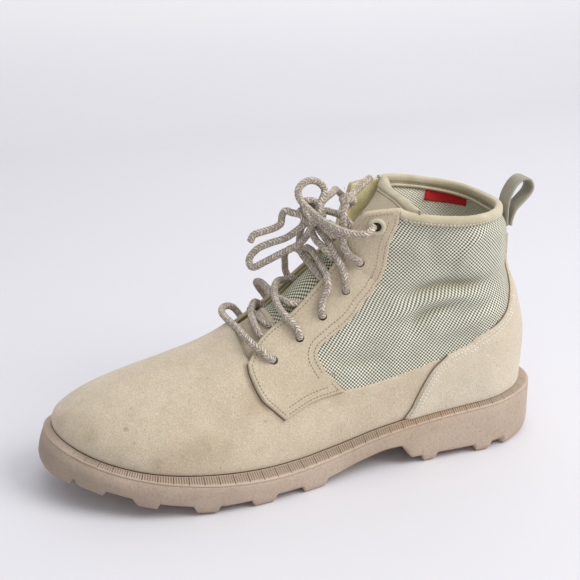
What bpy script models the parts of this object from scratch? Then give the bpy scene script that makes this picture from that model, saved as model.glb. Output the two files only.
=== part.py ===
"""Left chukka boot of suede and mesh on a lugged rubber sole, with one solid for each piece.

The toe points to -Y, the heel to +Y, the outer side of the foot to +X and up is +Z.
The lugs stand on Z = 0.  Sizes are in millimetres and become metres when a mesh is made.

The upper is one surface, skin(station, turn).  Stations run from the toe (0) over the ball,
the instep and the heel seat (13) to the collar (18).  Turn runs round the foot: 0 on the
ridge, 1 at the outer sole edge or back seam, -1 at the inner one.  Everything that lies on
the foot is a patch of that surface, lifted off it by a distance.
"""
import math

import bpy
import numpy as np

MM = 0.001

# ---- main sizes, mm ----
MIDDLE = (-0.1, 1.3)       # middle of the finished boot in the working frame, x and y
WALL = 2.4                 # suede or mesh with its lining
GAP = 0.35                 # clearance between pieces that lie on each other
OVERLAY = 1.1              # leather of the facings and the heel counter
OVERLAY_LIFT = 0.6         # the facings' underside above the skin
COUNTER_LIFT = 0.8         # the counter's, more because the facets at the heel are large
TOE_Y = -141.3
HEEL_Y = 144.6
TOE_LENGTH = 64.0          # how far back the toe's rounding reaches
HEEL_STATION = 13.0
HEEL_LENGTH = 38.0         # how far forward the heel's rounding reaches
COLLAR_STATION = 18.0
THROAT_STATION = 6.83      # where the opening for the tongue begins
RIM_DROP = 6.5             # the upper stops this far under the collar's top line
BINDING_HALF = (2.4, 3.0)  # half width and half height of the padded collar binding
INSOLE = 3.0
TONGUE = 4.0
LUG = 4.2
LACE = 4.4                 # lace diameter
EYELET_OUT = 5.2
EYELET_IN = 2.6
EYELET_HEIGHT = 1.2
LOOP_WIDTH = 12.0
LOOP_THICK = 1.5


def table(columns, rows):
    """Rows of numbers as one array for each named column."""
    values = np.array(rows, float)
    return {name: values[:, i] for i, name in enumerate(columns)}


def smooth(x, xs, ys):
    """Monotone cubic curve through the rows, which never overshoots them."""
    step = np.diff(xs)
    slope = np.diff(ys) / step
    same = slope[:-1] * slope[1:] > 0
    w1 = 2 * step[1:] + step[:-1]
    w2 = step[1:] + 2 * step[:-1]
    safe1 = np.where(same, slope[:-1], 1.0)
    safe2 = np.where(same, slope[1:], 1.0)
    inner = np.where(same, (w1 + w2) / (w1 / safe1 + w2 / safe2), 0.0)
    tangent = np.concatenate([slope[:1], inner, slope[-1:]])
    i = np.clip(np.searchsorted(xs, x) - 1, 0, len(xs) - 2)
    u = np.clip((x - xs[i]) / step[i], 0, 1)
    return ((1 + 2 * u) * (1 - u) ** 2 * ys[i] + u * (1 - u) ** 2 * step[i] * tangent[i]
            + u * u * (3 - 2 * u) * ys[i + 1] + u * u * (u - 1) * step[i] * tangent[i + 1])


# ---- the last: sole line, stations and the sole's own sections ----
# height of the sole's top along the foot
FEATHER = table(("y", "z"), (
    (-153, 41.5), (-143, 38.5), (-136, 36.2), (-125, 32.8), (-113, 29.8), (-101, 27.6),
    (-85, 25.0), (-62, 22.2), (-42, 20.4), (-24, 19.6), (-8, 19.9), (8, 21.4), (24, 23.6),
    (38, 26.3), (58, 29.2), (77, 31.2), (98, 33.0), (116, 34.4), (133, 35.6), (153, 37.0)))


def feather(y):
    return smooth(y, FEATHER["y"], FEATHER["z"])


SEAT_Z = float(feather(HEEL_Y))
# each station's line from the sole edge or back seam to the ridge, and the widths on it
LAST = table(("station", "back_y", "back_z", "front_y", "front_z",
              "centre_x", "outer_w", "inner_w", "round_p", "belly"), (
    (0, -141.3, 38.0, -141.3, 41.0, -13.0, 49.0, 40.0, 2.6, 0.03),
    (1, -138.4, 37.0, -138.6, 45.3, -13.0, 49.0, 40.0, 2.6, 0.03),
    (2, -130.0, 34.4, -130.8, 50.8, -12.0, 49.0, 40.0, 2.5, 0.03),
    (3, -115.5, 30.5, -115.5, 58.6, -9.5, 49.0, 41.0, 2.3, 0.03),
    (4, -95.0, 26.5, -95.0, 66.0, -7.0, 51.0, 42.5, 2.1, 0.03),
    (5, -70.0, 23.1, -72.0, 73.3, -4.5, 52.0, 43.5, 2.0, 0.03),
    (6, -45.0, 20.6, -50.0, 81.3, -2.5, 50.0, 43.5, 1.9, 0.03),
    (7, -21.0, 19.6, -33.0, 91.0, -1.5, 46.0, 40.5, 1.85, 0.03),
    (8, 4.0, 20.9, -23.0, 100.0, -1.0, 41.0, 36.0, 1.85, 0.04),
    (9, 33.0, 25.0, -12.0, 110.5, -1.0, 37.0, 33.5, 2.0, 0.05),
    (10, 65.0, 29.2, -2.0, 121.0, -1.0, 35.5, 33.0, 2.3, 0.06),
    (11, 98.0, 31.6, 6.0, 129.0, -0.5, 34.5, 33.0, 2.7, 0.06),
    (12, 128.0, 34.0, 11.0, 134.8, 0.0, 34.0, 33.5, 3.1, 0.06),
    (13, 144.6, SEAT_Z, 13.3, 138.0, 0.0, 34.0, 34.0, 3.3, 0.05),
    (14, 145.9, 64.0, 15.3, 141.0, 0.0, 34.5, 34.5, 3.5, 0.03),
    (15, 140.9, 91.0, 17.0, 144.2, 0.0, 35.0, 35.0, 3.6, 0.00),
    (16, 133.8, 112.0, 18.3, 147.0, 0.0, 35.5, 35.5, 3.8, 0.00),
    (17, 134.0, 131.0, 19.3, 149.5, 0.0, 36.0, 36.5, 4.0, 0.00),
    (18, 129.0, 148.5, 20.0, 152.0, 0.0, 36.5, 37.5, 4.2, 0.00)))
# rise of the collar's top line over a straight one from the back seam (0) to the ridge (1)
COLLAR = table(("along", "outer", "inner"), (
    (0, 0, 0), (0.09, 0, 2.4), (0.2, 0, 4.2), (0.3, 0, 5.8), (0.39, 0.5, 7.3), (0.48, 1.5, 8.5),
    (0.55, 2.7, 8.3), (0.6, 3.6, 7.6), (0.65, 5.2, 7.1), (0.69, 7.1, 6.6), (0.75, 6.5, 5.9),
    (0.87, 4.0, 3.2), (1, 0, 0)))
# the sole: ledge outside the upper, drop of the welt's slope, underside, taper of the edge and
# height of the slope where the edge meets the underside
SOLE = table(("y", "ledge_out", "ledge_in", "drop", "floor", "taper", "bevel"), (
    (-141.3, 7.2, 7.4, 2.6, 19.4, -1.8, 6.5), (-131, 6.8, 8.2, 2.5, 19.6, -0.6, 4.0),
    (-115, 6.4, 7.4, 2.7, 15.4, 1.0, 3.0), (-97, 6.0, 6.4, 2.9, 10.9, 1.8, 2.5),
    (-80, 6.0, 6.0, 3.1, 7.4, 1.6, 2.5), (-66, 6.4, 6.0, 3.3, 5.2, 1.4, 2.5),
    (-54, 6.8, 6.0, 3.4, LUG, 1.2, 2.5), (-30, 7.2, 6.0, 3.6, LUG, 1.2, 2.5),
    (0, 6.5, 5.5, 3.6, LUG, 1.2, 2.5), (6, 6.3, 5.4, 3.6, 4.8, 1.4, 2.0),
    (28, 5.5, 5.0, 3.4, 9.8, 1.6, 2.0), (48, 5.2, 4.9, 3.3, 13.5, 1.6, 2.0),
    (54, 5.1, 4.9, 3.3, 13.5, 1.6, 2.0), (62.5, 5.0, 4.8, 3.2, LUG, 2.2, 2.5),
    (100, 4.8, 4.8, 3.1, LUG, 2.2, 3.0), (128, 5.4, 5.4, 3.2, LUG, 2.2, 6.0),
    (144.6, 8.6, 7.9, 3.6, LUG, 0.4, 11.0)))
# side lugs from front to back, along y
LUGS = ((-150, -131), (-129, -117.5), (-103, -92), (-73, -60.5), (-41, -28), (-10, 5),
        (69, 77.5), (103.8, 113), (122.5, 160))
ARCH = (5, 63)             # no lugs between these


def last(name, s):
    return smooth(s, LAST["station"], LAST[name])


def back_line(z):
    """How far back the heel reaches at a height."""
    heights = np.concatenate([[-20.0], LAST["back_z"][13:]])
    depths = np.concatenate([LAST["back_y"][13:14], LAST["back_y"][13:]])
    return smooth(z, heights, depths)


def rounded(u, power):
    """Quarter of a superellipse: 0 at u = 0, 1 from u = 1."""
    return np.sqrt(1 - (1 - np.clip(u, 0, 1)) ** power)


def turn_of(along):
    """Turn of a point given as its part of the way from the back line to the ridge."""
    return np.arccos(2 * np.asarray(along, float) - 1) / math.pi


def skin(s, turn):
    """Point on the outside of the upper."""
    s, turn = np.broadcast_arrays(np.asarray(s, float), np.asarray(turn, float))
    turn = np.where(np.abs(turn) > 1, turn - 2 * np.sign(turn), turn)
    outer = turn >= 0
    along = 0.5 * (1 + np.cos(math.pi * np.abs(turn)))
    back_z = last("back_z", s)
    back_y = np.where(s <= HEEL_STATION, last("back_y", s), back_line(back_z))
    back_z = np.where(s <= HEEL_STATION, feather(back_y), back_z)
    y = back_y + (last("front_y", s) - back_y) * along
    z = back_z + (last("front_z", s) - back_z) * along
    rise = np.where(outer, smooth(along, COLLAR["along"], COLLAR["outer"]),
                    smooth(along, COLLAR["along"], COLLAR["inner"]))
    z = z + rise * np.clip((s - 14) / 4, 0, 1) ** 1.5
    width = np.where(outer, last("outer_w", s), last("inner_w", s))
    width = width * rounded((back_y - TOE_Y) / TOE_LENGTH, 2.3)
    width = width * rounded((back_line(z) - y) / HEEL_LENGTH, 2.0)
    width = width * np.sqrt(np.clip(1 - along ** last("round_p", s), 0, 1))
    width = width * (1 + last("belly", s) * np.sin(math.pi * along ** 0.6))
    x = last("centre_x", s) + np.where(outer, 1, -1) * width
    return np.stack([x, y, z], -1)


def skin_normal(s, turn):
    """Outward direction at a point of the upper."""
    s, turn = np.broadcast_arrays(np.asarray(s, float), np.asarray(turn, float))
    s = np.clip(s, 0.05, COLLAR_STATION - 0.03)
    limit = np.where(s < HEEL_STATION, 0.97, 2.0)
    turn = np.clip(turn, -limit, limit)
    across = skin(s, turn + 0.01) - skin(s, turn - 0.01)
    ahead = skin(s + 0.03, turn) - skin(s - 0.03, turn)
    normal = np.cross(across, ahead)
    return normal / np.linalg.norm(normal, axis=-1, keepdims=True)


def lifted(s, turn, lift):
    return skin(s, turn) + skin_normal(s, turn) * np.asarray(lift)[..., None]


def station_at(y):
    """Station whose sole edge lies at y."""
    stations = np.linspace(0, HEEL_STATION, 1301)
    return np.interp(y, last("back_y", stations), stations)


# ---- meshes ----
def weld(points, faces):
    """Joins points that coincide and drops the faces that this flattens."""
    flat = np.asarray(points, float).reshape(-1, 3)
    _, first, index = np.unique(np.round(flat, 4), axis=0, return_index=True, return_inverse=True)
    index = index.reshape(-1)
    kept = []
    for face in faces:
        ring = [int(index[v]) for v in face]
        ring = [v for i, v in enumerate(ring) if v != ring[i - 1]]
        if len(set(ring)) == len(ring) and len(ring) > 2:
            kept.append(ring)
    return flat[first], kept, index


def grid_faces(rows, columns, start=0):
    return [(start + i * columns + j, start + i * columns + j + 1,
             start + (i + 1) * columns + j + 1, start + (i + 1) * columns + j)
            for i in range(rows - 1) for j in range(columns - 1)]


def make_solid(name, points, faces, material):
    mesh = bpy.data.meshes.new(name)
    centred = (np.asarray(points) - np.array([MIDDLE[0], MIDDLE[1], 0])) * MM
    mesh.from_pydata([tuple(p) for p in centred], [], faces)
    mesh.materials.append(material)
    solid = bpy.data.objects.new(name, mesh)
    bpy.context.collection.objects.link(solid)
    point_outward(mesh)
    return solid


def point_outward(mesh):
    """Turns a closed mesh's faces so that its volume is positive."""
    mesh.calc_loop_triangles()
    corners = np.array([[mesh.vertices[v].co[:] for v in t.vertices] for t in mesh.loop_triangles])
    volume = np.einsum("ij,ij->i", corners[:, 0], np.cross(corners[:, 1], corners[:, 2])).sum()
    if volume < 0:
        mesh.flip_normals()


def plate(name, patches, outer, inner, material, level_edge=False):
    """Solid between two lifts off the skin, over grids of (station, turn).

    Patches that share an edge are joined along it.  With level_edge, the edge along the sole
    is offset level, so that it stands flat on the sole.
    """
    points, normals, faces = [], [], []
    for s, turn, drop in patches:
        faces += grid_faces(s.shape[0], s.shape[1], len(points))
        place = skin(s, turn)
        place[..., 2] -= drop
        normal = skin_normal(s, turn)
        if level_edge:
            edge = (s <= HEEL_STATION + 1e-6) & (np.abs(turn) > 1 - 1e-6)
            normal[edge, 2] = 0
        points += list(place.reshape(-1, 3))
        normals += list(normal.reshape(-1, 3))
    middle, faces, index = weld(points, faces)
    mean = np.zeros_like(middle)
    np.add.at(mean, index, np.array(normals))
    mean /= np.linalg.norm(mean, axis=1, keepdims=True)
    count = len(middle)
    edges = {(a, b) for face in faces for a, b in zip(face, face[1:] + face[:1])}
    rim = [(b, a, a + count, b + count) for a, b in edges if (b, a) not in edges]
    under = [tuple(v + count for v in reversed(face)) for face in faces]
    both = np.vstack([middle + mean * outer, middle + mean * inner])
    return make_solid(name, both, [tuple(f) for f in faces] + under + rim, material)


def loft(name, sections, material, closed=False):
    """Solid through closed sections of equal point count, capped or closed into a ring."""
    rows, columns = sections.shape[:2]
    ring = np.concatenate([sections, sections[:, :1]], axis=1)
    faces = grid_faces(rows, columns + 1)
    if closed:
        ring = np.concatenate([ring, ring[:1]])
        faces = grid_faces(rows + 1, columns + 1)
    else:
        faces.append(tuple(reversed(range(columns))))
        faces.append(tuple(range((rows - 1) * (columns + 1), rows * (columns + 1) - 1)))
    points, faces, _ = weld(ring, faces)
    return make_solid(name, points, faces, material)


def frames(path, start_up):
    """Two directions across a path at each of its points, carried along without twist."""
    ahead = np.gradient(path, axis=0)
    ahead /= np.linalg.norm(ahead, axis=1, keepdims=True)
    up = np.array(start_up, float)
    sides, ups = [], []
    for direction in ahead:
        up = up - direction * np.dot(up, direction)
        up /= np.linalg.norm(up)
        ups.append(up)
        sides.append(np.cross(direction, up))
    return np.array(sides), np.array(ups)


def tube(name, path, radius, sides, material):
    across, up = frames(path, (0, 0, 1))
    angle = np.arange(sides) * 2 * math.pi / sides
    ring = (path[:, None] + radius * (np.cos(angle)[None, :, None] * across[:, None]
                                      + np.sin(angle)[None, :, None] * up[:, None]))
    return loft(name, ring, material)


def curve_through(points, count):
    """Evenly spaced points on a smooth curve through the given ones."""
    knots = np.array(points, float)
    padded = np.vstack([2 * knots[0] - knots[1], knots, 2 * knots[-1] - knots[-2]])
    fine = []
    for i in range(len(knots) - 1):
        p0, p1, p2, p3 = padded[i:i + 4]
        for u in np.linspace(0, 1, 24, endpoint=False):
            fine.append(0.5 * (2 * p1 + (p2 - p0) * u + (2 * p0 - 5 * p1 + 4 * p2 - p3) * u ** 2
                               + (3 * p1 - p0 - 3 * p2 + p3) * u ** 3))
    fine = np.array(fine + [knots[-1]])
    along = np.concatenate([[0], np.cumsum(np.linalg.norm(np.diff(fine, axis=0), axis=1))])
    even = np.linspace(0, along[-1], count)
    return np.stack([np.interp(even, along, fine[:, k]) for k in range(3)], -1)


# ---- materials ----
def material(name, colour, roughness, metallic=0.0):
    made = bpy.data.materials.new(name)
    made.use_nodes = True
    shader = made.node_tree.nodes["Principled BSDF"]
    shader.inputs["Base Color"].default_value = (*colour, 1)
    shader.inputs["Roughness"].default_value = roughness
    shader.inputs["Metallic"].default_value = metallic
    made.diffuse_color = (*colour, 1)
    return made


# ---- the sole ----
def is_lug(y):
    return any(front < y < back for front, back in LUGS)


def sole_stops():
    """Places along the foot where the sole has a section."""
    bevel = 0.8
    stops = {TOE_Y, TOE_Y + 0.3, TOE_Y + 1.2, TOE_Y + 3, TOE_Y + 6, 20.0, 30.0, 40.0, 48.0,
             54.0, 58.0, 62.5, 128.0, 133.0, 137.0, 140.5, 143.0, 144.6, HEEL_Y}
    for front, back in LUGS:
        for edge in (front, back):
            if TOE_Y < edge < HEEL_Y:
                stops |= {edge - bevel, edge + bevel}
    stops = sorted(stops)
    filled = [stops[0]]
    for y in stops[1:]:
        extra = int((y - filled[-1]) // 13)
        start = filled[-1]
        filled += [start + (y - start) * (k + 1) / (extra + 1) for k in range(extra)]
        filled.append(y)
    return filled


def sole_section(y):
    """One closed section across the sole: over the top, down the outer edge and back below."""
    s = station_at(y)
    edge = skin(np.array([s, s]), np.array([1.0, -1.0]))
    normal = skin_normal(np.array([s, s]), np.array([0.97, -0.97]))
    if y in (TOE_Y, HEEL_Y):
        edge[:, 0] = edge[:, 0].mean()
        normal[:] = (0, math.copysign(1, y), 0)
    normal[:, 2] = 0
    normal /= np.linalg.norm(normal, axis=1, keepdims=True)
    row = {name: float(smooth(y, SOLE["y"], SOLE[name])) for name in SOLE}
    top = float(feather(y)) - GAP
    floor = row["floor"]
    in_arch = ARCH[0] < y < ARCH[1]
    side_z = floor - (0 if in_arch or not is_lug(y) else LUG)
    centre_z = floor - (LUG if not in_arch and not is_lug(y) and -132 < y < 119 else 0)

    def side(which, ledge):
        place = edge[which]
        out = normal[which]
        drop = row["drop"]
        bevel = max(row["bevel"], floor + 1 - side_z)
        root = 0.25 * row["taper"] if row["taper"] > 0 else row["taper"]
        wall, foot = ledge - root, ledge - row["taper"] - bevel * 0.4
        reach = (0.6, ledge * 0.65, ledge, wall, wall + (foot - wall) * 0.3, foot)
        heights = (top, top - 0.6 * drop, top - drop, side_z + bevel, side_z + bevel * 0.3, side_z)
        points = [place + out * distance for distance in reach]
        for point, z in zip(points, heights):
            point[2] = z
        return points

    outer = side(0, row["ledge_out"])
    inner = side(1, row["ledge_in"])
    below = []
    parts = (0.22, 0.26, 0.34, 0.38, 0.62, 0.66, 0.74, 0.78)
    heights = (side_z, floor, floor, centre_z, centre_z, floor, floor, side_z)
    for part, z in zip(parts, heights):
        point = outer[-1] + (inner[-1] - outer[-1]) * part
        point[2] = z
        below.append(point)
    return np.array(outer + below + inner[::-1])


def make_outsole(rubber):
    return loft("outsole", np.array([sole_section(y) for y in sole_stops()]), rubber)


def make_insole(felt):
    """Board and sock lining on the sole, inside the upper."""
    inset = WALL + 1.5
    stations = np.concatenate([station_at(np.array([-142.0, -141.0, -138.0, -133.0])),
                               np.linspace(2.5, 11.5, 16), [12.1, 12.5, 12.8, 12.93, 12.99]])
    sections = []
    for s in stations:
        toe_round = 1 + 1.6 * np.clip((2.5 - s) / 2.5, 0, 1)
        corners = []
        for turn in (1.0, -1.0):
            out = skin_normal(s, 0.97 * turn)
            out[2] = 0
            out /= np.linalg.norm(out)
            corners.append(skin(s, turn) - out * inset * toe_round)
        outer, inner = corners
        low = float(feather(outer[1])) + GAP
        section = [outer, outer, (outer + inner) / 2, inner, inner, (outer + inner) / 2]
        heights = (low, low + INSOLE, low + INSOLE, low + INSOLE, low, low)
        sections.append([(p[0], p[1], z) for p, z in zip(section, heights)])
    return loft("insole", np.array(sections), felt)


# ---- the upper ----
# edges of the facings and the throat: station and part of the way from back line to ridge
THROAT_OUTER = table(("s", "along"), (
    (6.83, 0.85), (8.05, 0.872), (9.03, 0.86), (10.4, 0.88), (11.9, 0.905), (14.3, 0.90),
    (16.7, 0.89), (18, 0.87)))
THROAT_INNER = table(("s", "along"), (
    (6.83, 0.85), (8.05, 0.86), (9.03, 0.85), (10.4, 0.86), (11.9, 0.87), (14.3, 0.84),
    (16.7, 0.79), (18, 0.745)))
COLLAR_FRONT = (0.672, 0.55)   # where the padded binding ends, outer and inner side


def throat_turn(s, side):
    rows = THROAT_OUTER if side > 0 else THROAT_INNER
    return turn_of(smooth(np.maximum(s, THROAT_STATION), rows["s"], rows["along"]))


def side_turns(edge_turn, front_turn, count):
    """Turns from the throat edge to the back, with two close ones at the binding's end."""
    before = np.linspace(edge_turn, front_turn, 4)
    after = np.linspace(front_turn + 0.012, 1, count - 4)
    return np.concatenate([before, after])


def make_upper(suede):
    """One hollow wall, open underneath, at the throat and at the collar."""
    low = np.array([0, 0.04, 0.16, 0.36, 0.64, 1, 1.5, 2, 2.6, 3.3, 4, 4.7, 5.4, 6.1,
                    THROAT_STATION])
    high = np.array([THROAT_STATION, 7.4, 8.1, 8.8, 9.5, 10.3, 11.1, 11.8, 12.4, 12.75, 12.93,
                     HEEL_STATION, 13.5, 14.1, 14.7, 15.3, 15.9, 16.5, 17.1, COLLAR_STATION])
    count = 14
    columns = {}
    for side, front in ((1, COLLAR_FRONT[0]), (-1, COLLAR_FRONT[1])):
        rows = []
        for s in high:
            bind = turn_of(front)
            rows.append(side_turns(throat_turn(s, side), bind, count))
        columns[side] = np.array(rows) * side
    bottom_outer = columns[1][0]
    bottom_inner = columns[-1][0]
    top = np.linspace(bottom_inner[0], bottom_outer[0], 7)[1:-1]
    across = np.concatenate([bottom_inner[::-1], top, bottom_outer])
    s, turn = np.meshgrid(low, across, indexing="ij")
    even = (across - across[::-1]) / 2
    turn = even + (turn - even) * np.clip(s, 0, 1)
    patches = [(s, turn, np.zeros_like(s))]
    for side in (1, -1):
        turn = columns[side]
        s = np.repeat(high[:, None], count, axis=1)
        drop = np.zeros_like(s)
        drop[-1, 4:] = RIM_DROP
        if side < 0:
            s, turn, drop = s[:, ::-1], turn[:, ::-1], drop[:, ::-1]
        patches.append((s, turn, drop))
    return plate("upper", patches, 0.0, -WALL, suede, level_edge=True)


def ruled(near, far, fractions, bend):
    """Grid of (station, turn) between two edges, each a list of (station, along).

    bend is the true course of the first line across; the next two lines follow it in part.
    """
    near, far, bend = (np.array(edge, float) for edge in (near, far, bend))
    for edge in (near, far, bend):
        edge[:, 1] = turn_of(edge[:, 1])
    u = np.array(fractions)[None, :, None]
    grid = near[:, None] + (far - near)[:, None] * u
    excess = bend - grid[0]
    for row, share in enumerate((1.0, 0.5, 0.15)):
        grid[row] += share * excess
    return grid


# facing: station at the throat edge, then station and way to the ridge at the rear edge
FACING = table(("throat_s", "rear_s", "rear_along"), (
    (6.90, 7.38, 0.335), (7.6, 8.25, 0.36), (8.2, 9.10, 0.330), (8.5, 9.02, 0.41),
    (8.8, 8.95, 0.50), (9.1, 8.97, 0.58), (9.5, 9.15, 0.625), (10.0, 9.60, 0.643),
    (10.5, 10.3, 0.665), (11.2, 11.2, 0.718), (12.0, 12.0, 0.745), (12.9, 12.8, 0.763),
    (14.2, 14.0, 0.752), (15.4, 15.3, 0.735), (16.8, 16.7, 0.705), (18.0, 18.0, 0.680)))
FACING_FRONT = ((6.80, 0.80), (6.76, 0.738), (6.80, 0.64), (6.90, 0.54), (7.15, 0.43),
                (7.38, 0.335))
FACING_INSET = 0.014       # of the facing's throat edge behind the upper's own edge
INNER_REAR = 0.62          # the inner facing's rear edge at the collar


def make_facing(name, side, suede):
    """Leather over the side of the throat, which carries the lace holes."""
    rows = THROAT_OUTER if side > 0 else THROAT_INNER
    along = smooth(FACING["throat_s"], rows["s"], rows["along"]) - FACING_INSET
    along[0] = FACING_FRONT[0][1]
    rear = FACING["rear_along"].copy()
    if side < 0:
        rear -= (rear[-1] - INNER_REAR) * np.clip((FACING["rear_s"] - 12.5) / 5.5, 0, 1)
    front = np.array(FACING_FRONT)
    turns = turn_of(front[:, 1])
    fractions = (turns - turns[0]) / (turns[-1] - turns[0])
    grid = ruled(np.stack([FACING["throat_s"], along], -1),
                 np.stack([FACING["rear_s"], rear], -1), fractions, front)
    s, turn = grid[..., 0], grid[..., 1] * side
    if side < 0:
        s, turn = s[:, ::-1], turn[:, ::-1]
    return plate(name, [(s, turn, np.zeros_like(s))], OVERLAY_LIFT + OVERLAY, OVERLAY_LIFT, suede)


# heel counter: station on the sole or back seam, then station and way to the ridge of its edge
COUNTER = table(("seam_s", "edge_s", "edge_along"), (
    (9.78, 11.68, 0.323), (10.3, 12.0, 0.330), (10.9, 12.4, 0.3385), (11.3, 12.7, 0.3435),
    (11.6, 12.96, 0.3465), (11.85, 13.28, 0.330), (12.15, 13.46, 0.3085), (12.45, 13.66, 0.277),
    (12.68, 13.86, 0.243),
    (12.84, 14.05, 0.215), (12.94, 14.25, 0.185), (12.985, 14.45, 0.155), (13.0, 14.7, 0.125),
    (13.5, 15.03, 0.09), (14.1, 15.35, 0.055), (14.7, 15.6, 0.03), (15.3, 15.8, 0.018),
    (15.9, 16.1, 0.012), (16.5, 16.5, 0.012), (16.85, 16.85, 0.012)))
COUNTER_FRONT = ((9.78, 0.0), (9.80, 0.009), (9.90, 0.035), (10.09, 0.078), (10.32, 0.135),
                 (10.67, 0.206), (11.12, 0.273), (11.68, 0.323))


def make_counter(suede):
    """Suede round the heel with a narrow strip up the back seam."""
    seam = np.stack([COUNTER["seam_s"], np.zeros(len(COUNTER["seam_s"]))], -1)
    edge = np.stack([COUNTER["edge_s"], COUNTER["edge_along"]], -1)
    turns = turn_of(np.array(COUNTER_FRONT)[:, 1])
    fractions = (turns - turns[0]) / (turns[-1] - turns[0])
    grid = ruled(seam, edge, fractions, COUNTER_FRONT)
    s, turn = grid[..., 0], grid[..., 1]
    patches = [(s, turn, np.zeros_like(s)), (s[:, ::-1], -turn[:, ::-1], np.zeros_like(s))]
    return plate("heel_counter", patches, COUNTER_LIFT + OVERLAY, COUNTER_LIFT, suede,
                 level_edge=True)


def collar_line(turn, down, lift):
    """Point under the collar's top line."""
    place = lifted(np.full_like(turn, COLLAR_STATION), turn, np.full_like(turn, lift))
    place[..., 2] -= down
    return place


def make_binding(cloth):
    """Padded roll on the rim, from the outer facing round the back to the inner one."""
    start = turn_of(COLLAR_FRONT[0]) + 0.016
    end = 2 - (turn_of(COLLAR_FRONT[1]) + 0.016)
    turn = np.linspace(start, end, 34)
    path = collar_line(turn, BINDING_HALF[1], -WALL / 2)
    out = skin_normal(np.full_like(turn, COLLAR_STATION), turn)
    out[:, 2] = 0
    out /= np.linalg.norm(out, axis=1, keepdims=True)
    angle = np.arange(8) * math.pi / 4 + math.pi / 8
    ring = (path[:, None] + BINDING_HALF[0] * np.cos(angle)[None, :, None] * out[:, None]
            + BINDING_HALF[1] * np.sin(angle)[None, :, None] * np.array([0, 0, 1.0]))
    return loft("collar_binding", ring, cloth)


# ---- the tongue ----
# edge on each side as station and part of the way to the ridge, and the height of the middle
TONGUE_ROWS = table(("s", "along_out", "along_in", "depth", "middle_y", "middle_z"), (
    (5.8, 0.74, 0.74, 0.6, -51, 73.5), (6.9, 0.78, 0.78, 0.6, -31, 83.5),
    (8.0, 0.79, 0.79, 0.6, -18, 92.5), (9.2, 0.785, 0.78, 0.6, -4, 102.5),
    (10.8, 0.78, 0.765, 0.6, 11, 115), (13.0, 0.755, 0.725, 0.6, 28, 129.5),
    (15.0, 0.71, 0.71, 0.8, 43.5, 141.5), (17.0, 0.65, 0.62, 1.8, 59, 152.5),
    (18.0, 0.605, 0.555, 2.2, 66, 157)))


def tongue_grid(rows, columns, lift):
    """Surface of the tongue: lift 0 is its outer face, and less is inside it."""
    s = smooth(np.linspace(0, 1, rows), np.linspace(0, 1, len(TONGUE_ROWS["s"])), TONGUE_ROWS["s"])
    value = {k: smooth(s, TONGUE_ROWS["s"], TONGUE_ROWS[k]) for k in TONGUE_ROWS}
    outer = lifted(s, turn_of(value["along_out"]), -WALL - value["depth"])
    inner = lifted(s, -turn_of(value["along_in"]), -WALL - value["depth"])
    middle = np.stack([(outer[:, 0] + inner[:, 0]) / 2, value["middle_y"], value["middle_z"]], -1)
    u = np.linspace(-1, 1, columns)[None, :, None]
    arch = 1 - np.abs(u) ** 2.2
    side = np.where(u > 0, 1, 0)
    edge = outer[:, None] * side + inner[:, None] * (1 - side)
    flat = inner[:, None] + (outer - inner)[:, None] * (u + 1) / 2
    bow = edge + (middle[:, None] - edge) * arch
    grid = np.stack([flat[..., 0], bow[..., 1], bow[..., 2]], -1)
    along = np.gradient(grid, axis=0)
    across = np.gradient(grid, axis=1)
    normal = np.cross(across, along)
    normal /= np.linalg.norm(normal, axis=-1, keepdims=True)
    return grid + normal * lift


def make_tongue(mesh_cloth):
    outer = tongue_grid(20, 11, -0.1)
    inner = tongue_grid(20, 11, -0.1 - TONGUE)
    sections = np.concatenate([outer, inner[:, ::-1]], axis=1)
    return loft("tongue", sections, mesh_cloth)


# ---- laces and small pieces ----
# lace holes on the outer facing; the inner facing mirrors them
HOLES = ((7.73, 0.723), (8.83, 0.733), (9.80, 0.755), (11.12, 0.80), (13.62, 0.845))
EYELETS = {1: (16.8, 0.795), -1: (16.6, 0.705)}
ON_FACING = OVERLAY_LIFT + OVERLAY + GAP


def over_facing(hole, side, lift):
    s, along = hole
    return lifted(np.array(s), np.array(turn_of(along) * side), np.array(lift))


# how deep a strand sinks below the ridge line where it crosses the tongue, by station
SINK = table(("s", "depth"), ((7, 2.5), (8, 5.5), (9.2, 8.5), (10.5, 10.5), (12.5, 12), (14, 12.5)))


def strand_points(low_hole, high_hole, side):
    """Route from inside the throat edge, across the tongue and over the facing to a hole."""
    radius = LACE / 2
    s0, s1 = low_hole[0] + 0.25, high_hole[0]
    start_turn = -side * (throat_turn(s0, -side) - 0.075)
    end_turn = side * throat_turn(s1, side)
    hole_turn = side * turn_of(high_hole[1])
    points = []
    for part, share in ((0.0, 0.45), (0.25, 0.8), (0.5, 0.85), (0.75, 0.55)):
        s = s0 + (s1 - s0) * part * 0.85
        depth = smooth(s, SINK["s"], SINK["depth"])
        points.append(lifted(np.array(s), np.array(start_turn + (end_turn - start_turn) * part),
                             np.array(1.4 - share * depth)))
    s_edge = s0 + (s1 - s0) * 0.92
    points.append(lifted(np.array(s_edge), np.array(side * throat_turn(s_edge, side)),
                         np.array(ON_FACING + radius + 0.35)))
    points.append(lifted(np.array(s1), np.array(hole_turn), np.array(ON_FACING + radius)))
    return points


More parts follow.
